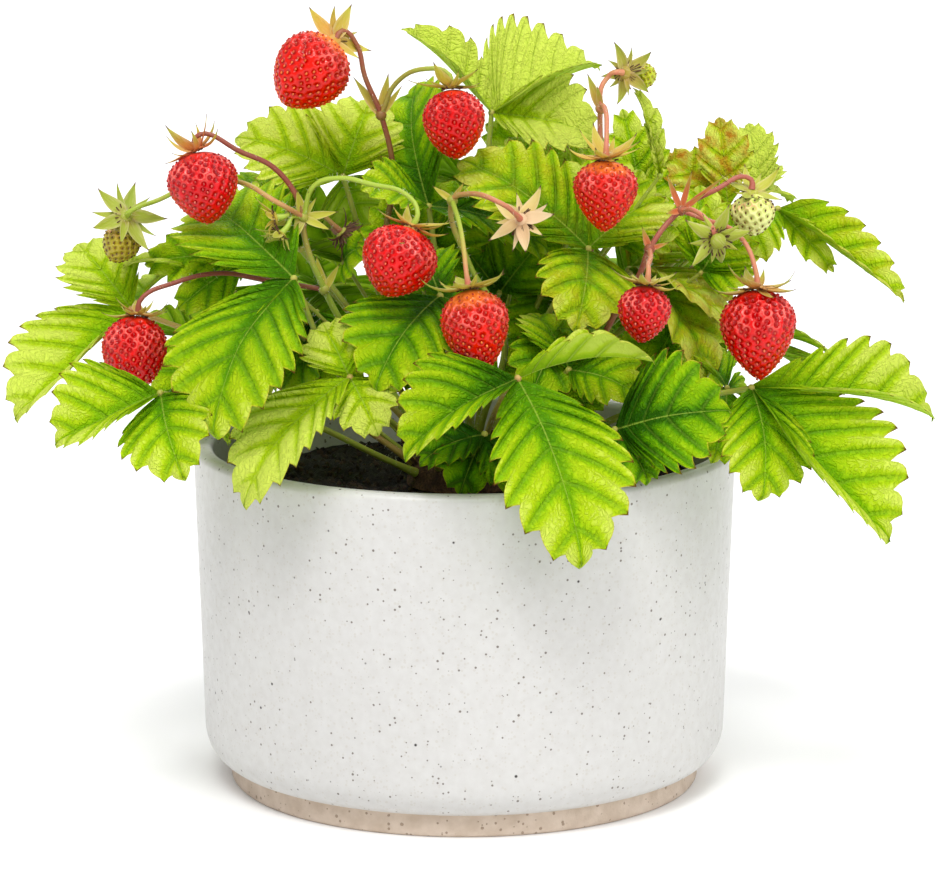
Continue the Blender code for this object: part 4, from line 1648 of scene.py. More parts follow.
@dataclass
class Leaflet:
    """A toothed blade, pleated along its side veins and folded along its midrib."""

    hub: Array
    blade: Blade
    look: Point
    seed: int
    detail: Detail
    inset: float = 0.4
    thickness: float = 0.34
    fullness: float = 0.72
    neck: float = 0.8
    first_tooth: float = 0.22
    last_tooth: float = 0.94
    crowding: float = 0.9
    notch: float = 0.2
    tooth_depth: float = 0.11
    point: float = 0.07
    vein_lean: float = 0.85
    pleat: float = 0.3
    wave: float = 0.03
    curl: float = 0.05

    @property
    def teeth(self) -> int:
        """How many teeth each side has."""
        return max(4, round(3.3 + self.blade.width / 8.4))

    def stance(self) -> tuple[Array, Array, float]:
        """How the blade lies.

        Returns:
            Its base, the ways to its side, its tip and its upper face as columns, and its length.
        """
        tip = np.array(self.blade.tip, float)
        axis = unit(tip - self.hub)
        base = self.hub + self.inset * axis
        middle = 0.5 * (self.hub + tip)
        away = unit(np.array((middle[0], middle[1], 1e-6)))
        lean = np.array(self.blade.face) if self.blade.face else UP + 0.6 * away
        normal = unit(lean - axis * (lean @ axis))
        normal = np.array(Matrix.Rotation(math.radians(self.blade.roll), 3, axis.tolist())) @ normal
        axes = np.column_stack([np.cross(axis, normal), axis, normal])
        return base, axes, float(np.linalg.norm(tip - base))

    def rows(self) -> Array:
        """The places along the margin where the blade has a row of points.

        Returns:
            The places, where each whole number from 1 is a tooth's tip.
        """
        before, phases, _ = self.detail.value
        stations = [tooth + phase for tooth in range(1, self.teeth + 1) for phase in phases]
        return np.array([*before, *stations, self.teeth + 1.0])

    def half_width(self, t: Array) -> Array:
        """Half the width of the blade's envelope at a share of its length.

        Args:
            t: Shares of the length.

        Returns:
            Half the width at each.
        """
        shift = math.log(0.5) / math.log(self.blade.widest)
        inner = np.clip(t, 0.0, 1.0) ** shift
        return np.maximum(0.5 * self.blade.width * np.abs(np.sin(math.pi * inner)) ** self.fullness, 0.0)

    def margin(self, order: Array, length: float) -> tuple[Array, Array, Array]:
        """The toothed edge of one side.

        Args:
            order: Places along the edge, where each whole number from 1 is a tooth's tip.
            length: The blade's length.

        Returns:
            How far out, how far along, and where on the midrib its vein starts.
        """
        teeth, notch = self.teeth, self.notch
        first, last = self.first_tooth**self.crowding, self.last_tooth**self.crowding
        tips = np.linspace(first, last, teeth) ** (1.0 / self.crowding)
        t = np.interp(order, np.arange(teeth + 2), [0.0, *tips, 1.0])
        phase = order - np.floor(order + 1e-9)
        rising = np.sin(QUARTER * np.clip((phase - notch) / (1.0 - notch), 0.0, 1.0)) ** 0.85
        falling = 1.0 - np.clip(phase / notch, 0.0, 1.0) ** 0.8
        height = np.where(phase < notch, falling, rising)
        height = np.where(order < 1.0, eased(0.0, 0.6, order) * 0.3 + 0.7, height)
        fullness = np.sin(math.pi * np.clip(t, 0.0, 1.0)) ** 0.5
        depth = self.tooth_depth * self.blade.width * (0.4 + 0.6 * fullness)
        point = np.exp(-((np.minimum(phase, 1.0 - phase) / self.point) ** 2)) * (order > 0.9)
        reach = self.half_width(t)
        out = reach + 0.45 * depth - depth * (1.0 - height) + 0.3 * point
        share = np.clip((order - teeth - notch) / (1.0 - notch), 0.0, 1.0)
        waist = np.interp(teeth + notch, order, out)
        end = waist * (1.0 + 0.5 * share) * (1.0 - share**1.35)
        out = np.where(order >= teeth + notch, end, out)
        out = np.maximum(out, self.neck * (1.0 - t) ** 0.5)
        along = t * length - 0.35 * depth * (1.0 - height) + 0.6 * point
        start = np.maximum(t * length - self.vein_lean * reach, 0.12 * t * length)
        tip = order >= teeth + 1.0 - 1e-9
        out[tip] = 0.0
        along[tip] = length
        start[tip] = length
        return out, along, start

    def pleats(self, order: Array, across: Array, length: float) -> Array:
        """How far each point rises between two side veins, or sinks along one.

        Args:
            order: Places along the margin, one a row of points.
            across: Shares of the way out from the midrib.
            length: The length of the blade.

        Returns:
            The rise of each point.
        """
        teeth = self.teeth
        fold = np.abs(np.sin(math.pi * order))[:, None] ** 0.75 - 0.5
        fold = fold * across**0.5 * (1.0 - 0.45 * across**6)
        depth = self.pleat * length / teeth * (eased(0.2, 2.8, order) * (1.1 - 0.45 * order / (teeth + 1.0)))
        return fold * depth[:, None]

    def part(self) -> Part:
        """The closed blade, in place.

        Returns:
            The part; its shape mark is the place along the margin, the share across and the share along.
        """
        rng = np.random.default_rng(self.seed)
        base, axes, length = self.stance()
        blade, width = self.blade, self.blade.width
        order = self.rows()
        across = np.linspace(0.0, 1.0, self.detail.value[2])[None, :] ** 0.85
        out, along, start = self.margin(order, length)
        pleats = self.pleats(order, across, length)
        strays = [rng.normal(0.0, 0.012) for _ in range(2)]
        droop = rng.uniform(0.02, 0.09)
        twist = rng.normal(0.0, 0.05)
        wave_seed = int(rng.integers(1, 10**6))
        x = out[:, None] * across
        loft = 0.5 * self.thickness * (1.0 - across**6) * np.ones_like(x)
        loft[[0, -1]] = 0.0
        points, quads, shapes, flats = [], [], [], []
        for hand, stray in zip((1.0, -1.0), strays):
            edge = along + stray * length * np.sin(math.pi * along / length)
            bow = 0.02 * out[:, None] * np.sin(math.pi * across)
            y = start[:, None] + (edge - start)[:, None] * across**1.12 - bow
            t = y / length
            flat = np.stack([hand * x, y, np.zeros_like(x)], axis=-1).reshape(-1, 3)
            wave = ripple(flat, 0.6 * width + 6.0, wave_seed).reshape(x.shape)
            z = blade.arch * length * 4.0 * t * (1.0 - t) + math.sin(blade.fold) * x + pleats
            z += self.wave * width * wave * (x / width + 0.25)
            z -= droop * length * np.clip((t - 0.45) / 0.55, 0.0, 1.2) ** 2
            z += twist * hand * x * t * 2.0 - self.curl * width * across**4 * t
            for sign in (1.0, -1.0):
                skin = np.stack([hand * x * math.cos(blade.fold), y, z + sign * loft], axis=-1)
                faces = grid_quads(*x.shape, start=len(points) * x.size)
                quads.append(faces if hand * sign > 0.0 else faces[:, ::-1])
                points.append(base + skin.reshape(-1, 3) @ axes.T)
                mark = np.stack([order[:, None] + 0.0 * x, across + 0.0 * x, t], axis=-1)
                shapes.append(mark.reshape(-1, 3))
                flats.append(flat)
        return Part(np.vstack(points), np.vstack(quads), np.vstack(shapes), np.vstack(flats), self.look)


@dataclass
class Leaf:
    """A compound leaf: a downy stalk and three leaflets that spread from its end."""

    name: str
    plan: LeafPlan
    seed: int
    detail: Detail = Detail.FINE
    stalk_radius: float = 0.85
    hub_radius: float = 0.95
    hairs_per_mm2: float = 0.3
    hair_length: float = 1.3

    def stalk(self, hub: Array, crown: Crown) -> Part:
        """The stalk, from the crown to the hub.

        Args:
            hub: Where the leaflets meet.
            crown: The crown that the stalk grows from.

        Returns:
            The part.
        """
        bend = self.plan.bend
        aim = np.array(bend, float) if bend else hub
        start, rise = crown.root(aim)
        middle = aim if bend else 0.5 * (rise + hub) + 0.06 * np.linalg.norm(hub - rise) * UP
        path = smooth_path([start, rise, middle, hub], 2.6)
        radii = np.linspace(self.stalk_radius, 0.8 * self.stalk_radius, len(path))
        radii[:3] *= (1.5, 1.25, 1.1)
        return swept(path, radii, 9, (self.plan.blush, 0.3, 1.0))

    def build(self, shop: Workshop, crown: Crown) -> None:
        """Casts the leaf, grows its down and hands it over.

        Args:
            shop: The materials and trees that dress the piece.
            crown: The crown that the stalk grows from.
        """
        plan, palette = self.plan, shop.palette
        hub = np.array(plan.hub, float)
        rng = np.random.default_rng(self.seed)
        mould = Mould(self.name)
        mould.add(self.stalk(hub, crown), 2)
        mould.add(globe(hub, self.hub_radius, (plan.blush + 0.1, 0.1, 0.0)), 2)
        for k, blade in enumerate(plan.blades):
            tone = plan.tone + blade.tone + rng.normal(0.0, 0.04)
            look = (tone, plan.rust * rng.uniform(0.6, 1.2), 0.0)
            part = Leaflet(hub, blade, look, self.seed * 7 + k, self.detail).part()
            mould.add(part, np.repeat([0, 1, 0, 1], len(part.quads) // 4))
        obj = mould.cast([palette.upper, palette.under, palette.stalk])
        shop.grow_down(obj, self.hairs_per_mm2, self.hair_length, self.seed)
        shop.hand_over(obj, self.name if self.name in LEAVES else None)


def leaf(hub: Point, *blades: Blade | tuple, **looks: object) -> LeafPlan:
    """A leaf of the plan, whose plain blades are given as a tip, a width and perhaps a facing."""
    found = [Blade(*blade) if isinstance(blade, tuple) else blade for blade in blades]
    return LeafPlan(hub, tuple(found), **looks)


# The plan of the leaves that the construction has too.
LEAVES = {
    "leaf_left_big": leaf(
        (-42, -40, 137), Blade((-63, -64, 105), 40, fold=0.15), Blade((-68, -7, 153), 31, tone=-0.1),
        ((-64, -36, 112), 22), bend=(-32, -30, 112), tone=0.5,
    ),
    "leaf_far_left": leaf(
        (-85, -8, 124), Blade((-114.8, -22, 99.8), 33, fold=0.68, face=half_shown(-0.65, 0.75), arch=-0.03),
        ((-100, 5, 139.5), 21), ((-71, 12, 133), 17), tone=1.1, blush=0.5,
    ),
    "leaf_left_low": leaf(
        (-75, -44, 109),
        Blade((-101, -50, 98), 30, fold=0.65, face=half_shown(-0.45, 0.9), arch=0.0, tone=0.15),
        ((-69, -64, 93), 24), ((-57, -40, 97), 18), tone=0.58,
    ),
    "leaf_front_left": leaf(
        (-28, -50, 114), Blade((-55, -68, 88), 28, tone=0.1), ((-35, -44, 127), 17), ((-21, -60, 102), 16),
        tone=1.05, blush=0.3,
    ),
    "leaf_centre_left": leaf(
        (-6, -36, 132), ((-22, -58, 115), 29), ((-11, -15, 140), 17), ((6, -22, 120), 15), tone=0.22
    ),
    "leaf_front_fall": leaf(
        (13, -62, 116), Blade((-15, -72, 100), 31, fold=0.75, face=(-0.5, -1.0, 0.86)),
        Blade((29, -88, 77), 34, fold=0.2, tone=0.08),
        Blade((46, -58, 121), 16, roll=-35, fold=0.9, tone=0.5), tone=0.4, blush=0.4,
    ),
    "leaf_right_low": leaf(
        (71, -42, 110), Blade((74, -58, 86), 27, fold=0.15),
        Blade((107, -46, 72.8), 38.5, fold=0.71, face=half_shown(0.7, 0.7), arch=-0.02, tone=0.12),
        Blade(
            (120.5, -22, 101.5), 27.5, fold=0.83, face=half_shown(0.2, 1.0), arch=0.03, tone=0.35,
            widest=0.6,
        ),
        tone=0.5,
    ),
    "leaf_front_right": leaf(
        (37, -50, 101), Blade((64, -58, 108), 31, roll=40), ((23, -54, 99), 15), ((45, -60, 90), 16),
        tone=-0.02,
    ),
    "leaf_centre_right": leaf(
        (31, -24, 142), ((28, -44, 126), 25), Blade((-1, -14, 164), 27, roll=-15),
        Blade((51, -12, 155), 23, tone=0.3), tone=0.45, rust=0.3,
    ),
    "leaf_inner_right": leaf(
        (26, -34, 113), Blade((43, -44, 109), 20, roll=20), ((17, -20, 126), 20), ((42, -22, 104), 19),
        tone=0.42,
    ),
    "leaf_top": leaf(
        (7, 12, 172), Blade((-14.4, 14, 195), 17, fold=0.9, face=half_shown(0.7, 0.7), arch=0.0),
        Blade(
            (35, 26, 183.8), 38.5, fold=0.8, face=half_shown(-0.4, 0.9), arch=0.02, tone=0.05, widest=0.44
        ),
        Blade((34, 4, 167), 24, fold=0.5, face=(0.1, -1.0, 0.8), tone=-0.15), tone=1.6,
    ),
    "leaf_upper_left": leaf(
        (-31, 0, 157), ((-58, 0, 168), 27, (-0.1, -1.0, 0.9)), ((-24, 10, 176), 26, (0.0, -1.0, 0.6)),
        ((-24, 10, 140), 20), bend=(-20, 6, 120), tone=1.0,
    ),
    "leaf_upper_middle": leaf(
        (-9, -12, 151), ((-14, 14, 181), 29), Blade((-25, -22, 158), 20, roll=-20, tone=0.1),
        ((22, -14, 142), 22), tone=0.34,
    ),
    "leaf_middle_back": leaf(
        (28, -2, 144), Blade((12, 8, 167), 30, roll=-35, tone=0.2), Blade((40, 12, 163), 21, tone=0.2),
        ((24, 14, 138), 20), tone=0.5,
    ),
    "leaf_inner_front": leaf(
        (5, -46, 99), ((-1, -59, 87), 17), ((-11, -53, 94), 16), ((14, -56, 86), 16), tone=-0.2
    ),
    "leaf_right_middle": leaf(
        (42, -6, 134), Blade((66, -22, 124), 30, tone=0.3), Blade((58, 8, 144), 20, tone=0.2),
        ((62, -30, 112), 26), tone=0.6, rust=0.7,
    ),
    "leaf_upper_right": leaf(
        (68, 10, 148), Blade((66, 14, 170.8), 14, fold=0.35, face=(0.0, -1.0, 0.6)),
        Blade((52, 18, 161), 13, face=VIEWER, tone=-0.2), ((74, 14, 138), 14), tone=1.05, rust=1.1,
    ),
    "leaf_far_upper_right": leaf(
        (78, 24, 150), ((74.5, 30, 167.5), 12, (-0.2, -0.9, 0.9)), ((82, 30, 157), 8, (-0.2, -0.9, 0.9)),
        ((86, 36, 147), 9), tone=1.7, rust=0.1,
    ),
    "leaf_far_right": leaf(
        (80, -2, 149),
        Blade((112, -14, 128), 18.5, fold=0.85, face=half_shown(0.55, 0.83), arch=0.0, widest=0.4),
        Blade((94, -10, 134.5), 8, tone=-0.1, face=VIEWER, arch=0.03), ((68, -16, 137), 14), tone=0.82,
        rust=0.25,
    ),
    "leaf_inner_left": leaf(
        (-42, 2, 138), ((-59, 4, 158), 23), ((-43, 14, 157), 20), ((-31, 8, 134), 16), tone=0.38
    ),
    "leaf_back_left": leaf(
        (-50, 44, 122), ((-74, 62, 102), 32), ((-68, 32, 140), 28), ((-32, 66, 118), 26), tone=0.5
    ),
    "leaf_back": leaf(
        (-10, 60, 118), ((-14, 90, 92), 34), ((-38, 72, 110), 26), ((18, 74, 114), 26), tone=0.52
    ),
    "leaf_back_right": leaf(
        (42, 48, 124), ((64, 70, 102), 32), ((62, 30, 140), 26), ((24, 70, 130), 24), tone=0.46, rust=0.2
    ),
    "leaf_back_high": leaf(
        (4, 34, 150), ((-2, 66, 140), 34), ((-28, 44, 158), 30), ((34, 50, 154), 30), tone=0.65
    ),
    "leaf_back_far_left": leaf(
        (-70, 26, 110), ((-98, 38, 90), 30), ((-92, 12, 116), 24), ((-62, 50, 106), 22), tone=0.6
    ),
    "leaf_back_far_right": leaf(
        (72, 24, 112), ((100, 34, 90), 30), ((98, 16, 108), 22), ((66, 48, 106), 22), tone=0.6
    ),
}


# Smaller leaves that fill the inside of the plant.
INNER_LEAVES = {
    "inner_leaf_low_left": leaf(
        (-62, 0, 115), ((-78, -8, 98), 21, VIEWER), ((-66, -10, 101), 18), ((-52, -6, 107), 18), tone=0.3
    ),
    "inner_leaf_mid_left": leaf(
        (-38, 0, 122), ((-52, -8, 103), 22), ((-41, -12, 100), 20), ((-29, -8, 103), 20), tone=0.25
    ),
    "inner_leaf_mid": leaf(
        (-8, 6, 124), ((-20, -8, 103), 24), ((-6, -10, 101), 22), ((5, -6, 105), 22), tone=0.25
    ),
    "inner_leaf_mid_right": leaf(
        (25, 6, 127), ((13, -6, 104), 24), ((27, -12, 102), 22), ((41, -4, 107), 24), tone=0.25
    ),
    "inner_leaf_low_right": leaf(
        (58, 6, 124), ((45, -8, 104), 24), ((59, -10, 100), 22), ((71, 0, 109), 22), tone=0.35
    ),
    "inner_leaf_heart": leaf(
        (9, 0, 127), ((-4, 2, 143), 24, VIEWER), ((6, 10, 147), 24, VIEWER), ((22, 0, 143), 22, VIEWER),
        tone=0.3,
    ),
    "inner_leaf_high": leaf(
        (21, 26, 155), ((6, 22, 168), 18, VIEWER), ((23, 34, 171), 22), ((36, 22, 165), 22), tone=0.7
    ),
    "inner_leaf_nook": leaf(
        (-31, 6, 134), ((-41, 6, 154), 18), ((-34, 14, 145), 14), ((-26, -6, 140), 16, VIEWER), tone=0.35
    ),
    "inner_leaf_right": leaf(
        (59, 14, 134), ((66, 20, 147), 22), ((74, 10, 140), 20), ((50, 18, 147), 20), tone=0.7
    ),
    "inner_leaf_yellow": leaf(
        (46, 16, 149), ((41, 16, 172.5), 12, VIEWER), ((50, 18, 168), 9, VIEWER),
        ((54, 12, 155), 13, VIEWER), tone=0.7,
    ),
    "inner_leaf_rim": leaf(
        (66, -26, 107), ((57, -20, 117), 18), ((62, -40, 91), 16), ((73, -24, 104), 16), tone=0.45
    ),
    "inner_leaf_flag": leaf(
        (-66, -6, 133), ((-87, -4, 136.5), 17), ((-80, 6, 138), 13), ((-72, -2, 123), 9), tone=0.9
    ),
    "inner_leaf_slope": leaf(
        (24, -20, 121), ((16, -38, 106), 18), ((31, -34, 101), 20, VIEWER), ((34, -30, 119), 16), tone=0.15
    ),
    "young_leaf": leaf(
        (49, -20, 160), Blade((43, -20, 182), 7, fold=0.8, arch=0.02, face=half_shown(0.9, 0.2)),
        Blade((45, -18, 178), 5, fold=1.0, arch=0.03, face=VIEWER),
        Blade((47, -22, 170), 5, fold=1.0, arch=0.03, face=VIEWER), tone=1.2, blush=-0.2,
    ),
    "inner_leaf_berry": leaf(
        (-54, -8, 138), ((-82, -6, 136), 14, VIEWER), ((-60, -2, 149), 14, VIEWER),
        ((-73, -12, 125), 13, VIEWER), tone=0.35,
    ),
    "inner_leaf_gap": leaf(
        (-12, 0, 134), ((-20, -4, 152), 22, VIEWER), ((2, 2, 154), 24, VIEWER),
        ((-8, -10, 140), 18, VIEWER), tone=0.25,
    ),
    "inner_leaf_bright": leaf(
        (38, -10, 142), ((44, -14, 160), 20, VIEWER), ((22, -4, 160), 20, VIEWER),
        ((54, -12, 148), 18, VIEWER), tone=0.6,
    ),
    "inner_leaf_side": leaf(
        (60, -12, 134), ((70, -14, 150), 20, VIEWER), ((73, -16, 135), 14, VIEWER),
        ((60, -6, 156), 16, VIEWER), tone=0.6,
    ),
    "inner_leaf_back_left": leaf(
        (-36, 26, 124), ((-50, 40, 108), 24), ((-30, 44, 104), 22), ((-54, 22, 132), 22), tone=0.35
    ),
    "inner_leaf_back_mid": leaf(
        (6, 30, 126), ((-8, 44, 108), 24), ((12, 48, 104), 22), ((22, 32, 112), 22), tone=0.3
    ),
    "inner_leaf_back_right": leaf(
        (44, 24, 128), ((40, 42, 106), 24), ((58, 40, 112), 22), ((66, 20, 130), 22), tone=0.4
    ),
}


# --- Berries and calyxes ---


@dataclass(frozen=True)
class BerryPlan:
    """A berry of the plan: the middle of its shoulder, its apex, its width and how pointed it is."""

    top: Point
    apex: Point
    width: float
    point: float
    ripeness: Ripeness
    seeds: int


BERRIES = {
    "berry_01": BerryPlan((-32.7, -15, 193), (-45.0, -22, 178.1), 19.2, 0.35, Ripeness.SCARLET, 270),
    "berry_02": BerryPlan((-66.1, -30, 167.1), (-63, -32, 149.4), 17.4, 0.45, Ripeness.CRIMSON, 250),
    "berry_03": BerryPlan((-81.4, -30, 126), (-83.4, -31, 105.9), 16.3, 0.5, Ripeness.RED, 240),
    "berry_04": BerryPlan((-12.7, -46, 150.5), (-19.6, -48, 134), 18.7, 0.35, Ripeness.RED, 260),
    "berry_05": BerryPlan((-3.3, -21, 181.6), (-1.8, -23, 164.4), 16.0, 0.4, Ripeness.RED, 220),
    "berry_06": BerryPlan((1.2, -55, 136.6), (4.6, -57, 115.7), 16.8, 0.7, Ripeness.SCARLET, 240),
    "berry_07": BerryPlan((34.8, -38, 166.1), (34.4, -39, 148.4), 16.0, 0.6, Ripeness.SCARLET, 220),
    "berry_08": BerryPlan((44.6, -50, 136.8), (43.2, -51, 122.8), 13.2, 0.5, Ripeness.CRIMSON, 160),
    "berry_09": BerryPlan((72.1, -42, 134.5), (73, -43, 111.9), 18.9, 0.75, Ripeness.RED, 280),
    "berry_10": BerryPlan((-84.8, -12, 146), (-89.1, -14, 137.1), 9.7, 0.3, Ripeness.TAN, 110),
    "berry_11": BerryPlan((71.7, -25, 156), (72.2, -27, 145.7), 11.3, 0.3, Ripeness.WHITE, 90),
    "berry_12": BerryPlan((42, -18.5, 185), (48, -16, 184.5), 6.8, 0.3, Ripeness.GREEN, 60),
}


@dataclass
class Berry:
    """A fruit: a plump cone with an achene in each of its shallow pits."""

    name: str
    plan: BerryPlan
    seed: int
    rings: int = 124
    segments: int = 184
    seeded: float = 0.95
    pit_width: float = 0.4
    pit_depth: float = 0.24
    seed_length: float = 0.43
    seed_sink: float = 0.03
    unevenness: float = 0.022

    def stance(self) -> tuple[Array, Array, float]:
        """The middle of the shoulder, the way from apex to shoulder, and the length.

        Returns:
            The middle, the direction at length one, and the length in millimetres.
        """
        top = np.array(self.plan.top, float)
        rise = top - np.array(self.plan.apex, float)
        length = float(np.linalg.norm(rise))
        return top, rise / length, length

    def fullness(self, t: Array) -> Array:
        """The share of the full width at a share of the way from shoulder to apex.

        Args:
            t: Shares of the way.

        Returns:
            The share of the width at each.
        """
        point = self.plan.point
        widest, taper, power = 0.44 - 0.12 * point, 2.0 - 0.5 * point, 0.5 + 0.4 * point
        upper = np.sqrt(np.clip(1.0 - ((widest - t) / widest) ** 2, 0.0, 1.0))
        lower = np.clip(1.0 - (np.clip(t - widest, 0.0, 1.0) / (1.0 - widest)) ** taper, 0.0, 1.0) ** power
        return np.where(t < widest, upper, lower)

    def outline(self, length: float) -> Array:
        """The turned outline, from apex to shoulder, with its points evenly spread.

        Args:
            length: The length of the berry.

        Returns:
            Radius and height, one point a row.
        """
        t = 0.5 - 0.5 * np.cos(np.linspace(0.0, math.pi, 400))
        path = np.column_stack([0.5 * self.plan.width * self.fullness(t), -t * length])
        run = running_length(path)
        even = np.linspace(0.0, run[-1], self.rings)
        profile = np.column_stack([np.interp(even, run, column) for column in path.T])[::-1]
        profile[[0, -1], 0] = 0.0
        return profile

    def seats(self, outline: Array) -> tuple[Array, Array]:
        """Where the achenes sit: a spiral that gives each the same area of skin.

        Args:
            outline: The turned outline.

        Returns:
            The seats and the outward directions, one a row, in the berry's own frame.
        """
        count = self.plan.seeds
        mid = 0.5 * (outline[1:] + outline[:-1])
        step = np.linalg.norm(np.diff(outline, axis=0), axis=1)
        area = np.concatenate([[0.0], np.cumsum(mid[:, 0] * step)])
        share = (np.arange(count) + 0.5) / count * self.seeded
        slope = rows_at_one(np.gradient(outline, axis=0))
        columns = (*outline.T, *slope.T)
        radius, height, along_r, along_z = [np.interp(share * area[-1], area, column) for column in columns]
        rng = np.random.default_rng(self.seed)
        turn = np.arange(count) * math.pi * (3.0 - math.sqrt(5.0)) + rng.normal(0.0, 0.05, count)
        points = np.column_stack([radius * np.cos(turn), radius * np.sin(turn), height])
        normals = np.column_stack([along_z * np.cos(turn), along_z * np.sin(turn), -along_r])
        return points, normals / np.linalg.norm(normals, axis=1)[:, None]

    def uneven(self, points: Array) -> None:
        """Swells each point of the skin a little, so that no two berries are alike."""
        swell = 1.0 + self.unevenness * ripple(points, self.plan.width * 1.1, self.seed)
        points[:, :2] *= swell[:, None]

    def skin(self, outline: Array, seats: Array, length: float, spacing: float) -> Part:
        """The berry's skin with its pits, in the berry's own frame.

        Args:
            outline: The turned outline.
            seats: Where the achenes sit.
            length: The berry's length.
            spacing: The distance between two achenes.

        Returns:
            The part; its shape mark is the share of the fall, the pit, and nothing.
        """
        part = turned(outline, self.segments)
        blocks = np.array_split(part.points, len(part.points) // 2000 + 1)
        near = [np.linalg.norm(block[:, None] - seats[None], axis=2).min(axis=1) for block in blocks]
        fall = -part.points[:, 2] / length
        upper = 1.0 - eased(0.3, 0.62, fall)
        pit = np.exp(-((np.concatenate(near) / ((self.pit_width + 0.09 * upper) * spacing)) ** 3.0))
        outward = rows_at_one(part.points + 0.5 * length * UP)
        depth = (self.pit_depth + 0.18 * upper) * spacing
        part.points = part.points - outward * (depth * pit)[:, None]
        self.uneven(part.points)
        part.shape = np.column_stack([fall, pit, np.zeros_like(fall)])
        return part

    def build(self, shop: Workshop) -> None:
        """Casts the berry with its pits, sets its achenes and hands it over.

        Args:
            shop: The materials and trees that dress the piece.
        """
        plan = self.plan
        top, up, length = self.stance()
        axes = frame_towards(up)
        outline = self.outline(length)
        seats, normals = self.seats(outline)
        spacing = math.sqrt(math.pi * plan.width * length / plan.seeds) * 0.9
        mould = Mould(self.name)
        mould.add(self.skin(outline, seats, length, spacing).moved(axes, top))
        obj = mould.cast([shop.palette.flesh[plan.ripeness]], sharp=math.pi)
        fall = -seats[:, 2] / length
        seats = seats - normals * self.seed_sink * spacing
        self.uneven(seats)
        holder = self.seat_object(top + seats @ axes.T, normals @ axes.T, up, fall)
        sizes = {"Seats": holder, "Length": self.seed_length * spacing * MM}
        grown(obj, shop.achenes, {**sizes, "Finish": shop.palette.seed[plan.ripeness]})
        bpy.data.objects.remove(holder, do_unlink=True)
        shop.hand_over(obj, self.name)

    @staticmethod
    def seat_object(seats: Array, normals: Array, up: Array, fall: Array) -> Object:
        """A cloud of points, each with its achene's turn and its share of the fall.

        Args:
            seats: The points, one a row.
            normals: The way out of the skin at each.
            up: The way to the shoulder, which the achenes' long sides point to.
            fall: The share of the way from shoulder to apex at each.

        Returns:
            The cloud as an object.
        """
        mesh = bpy.data.meshes.new("seats")
        mesh.from_pydata((seats * MM).tolist(), [], [])
        turns = []
        for normal in normals:
            long = up - normal * (up @ normal)
            long = unit(long) if np.linalg.norm(long) > TINY else frame_towards(normal)[:, 0]
            turn = np.column_stack([np.cross(long, normal), long, normal])
            turns.append(Matrix(turn.tolist()).to_quaternion())
        mark = mesh.attributes.new("turn", "QUATERNION", "POINT")
        mark.data.foreach_set("value", np.array(turns, np.float32).ravel())
        mesh.attributes.new("fall", "FLOAT", "POINT").data.foreach_set("value", fall.astype(np.float32))
        return linked("seats", mesh)


@dataclass(frozen=True)
class StarPlan:
    """A calyx of the plan: its radius, how far it curls to the stalk, and how pink and yellow it is.

    unruly is how much its sepals differ, dry is how brown they are, lean turns the whole star, and
    knob is the radius of the bare middle that it has if no fruit is left on it.
    """

    radius: float
    curl: float
    pink: float
    yellow: float
    unruly: float = 0.16
    dry: float = 0.0
    lean: Point = (0.0, 0.0, 0.0)
    stamens: int = 14
    knob: float = 0.0


STARS = {
    "calyx_01": StarPlan(10.8, 0.2, 0.45, 0.9, 0.18, lean=(0.1, -2.0, -0.1)),
    "calyx_02": StarPlan(9.0, 0.7, 0.95, 0.7, 0.3, lean=(-0.4, -0.1, 0.0)),
    "calyx_03": StarPlan(9.0, 0.35, 0.4, 0.4),
    "calyx_04": StarPlan(10.0, 0.3, 0.5, 0.8, 0.25),
    "calyx_05": StarPlan(10.0, 0.3, 0.1, 0.8, 0.25),
    "calyx_06": StarPlan(11.5, 0.32, 0.15, 0.5, 0.1),
    "calyx_07": StarPlan(10.2, 0.35, 0.4, 0.9, lean=(0.0, -0.2, 0.0)),
    "calyx_08": StarPlan(9.0, 0.3, 0.35, 0.45),
    "calyx_09": StarPlan(11.8, 0.5, 0.6, 0.3, 0.28),
    "calyx_10": StarPlan(11.2, 0.1, 0.0, 0.35, 0.1),
    "calyx_11": StarPlan(8.4, 0.25, 0.0, 0.6, 0.2, lean=(0.2, -0.6, 0.0)),
    "calyx_12": StarPlan(8.4, 0.1, 0.3, 0.2, lean=(-0.2, -1.3, 0.2), stamens=26),
    "calyx_13": StarPlan(10.0, 0.05, 0.25, 2.0, 0.1, stamens=40),
    "calyx_14": StarPlan(9.8, -0.12, 0.0, 0.45, 0.3, lean=(0.1, 1.3, -0.6), stamens=30, knob=2.1),
    "bud_left_low": StarPlan(6.0, -0.5, 0.05, 0.6),
    "bud_left_high": StarPlan(6.0, -0.4, 0.15, 0.8),
    "spent_flower": StarPlan(6.5, -0.1, 0.1, 0.2, 0.4, dry=1.0, stamens=40),
}

# Calyxes that don't sit square on a fruit: the middle, and the way they face the stalk.
BARE_CALYXES = {
    "calyx_13": ((14.0, -36.0, 151.0), (-0.35, -0.8, 0.5)),
    "calyx_14": ((62.0, -40.0, 147.0), (-0.35, -0.3, 0.86)),
    "calyx_10": ((-85.2, -15.0, 149.0), (0.4, -0.75, 0.5)),
    "calyx_12": ((40.2, -21.0, 185.8), (-0.92, -0.38, 0.08)),
    "bud_left_low": ((-45.5, -34.0, 147.0), (0.6, 0.3, 0.7)),
    "bud_left_high": ((-47.0, -33.0, 151.0), (0.9, 0.1, 0.2)),
    "spent_flower": ((-30.5, -24.0, 146.0), (-0.7, -0.2, 0.7)),
}


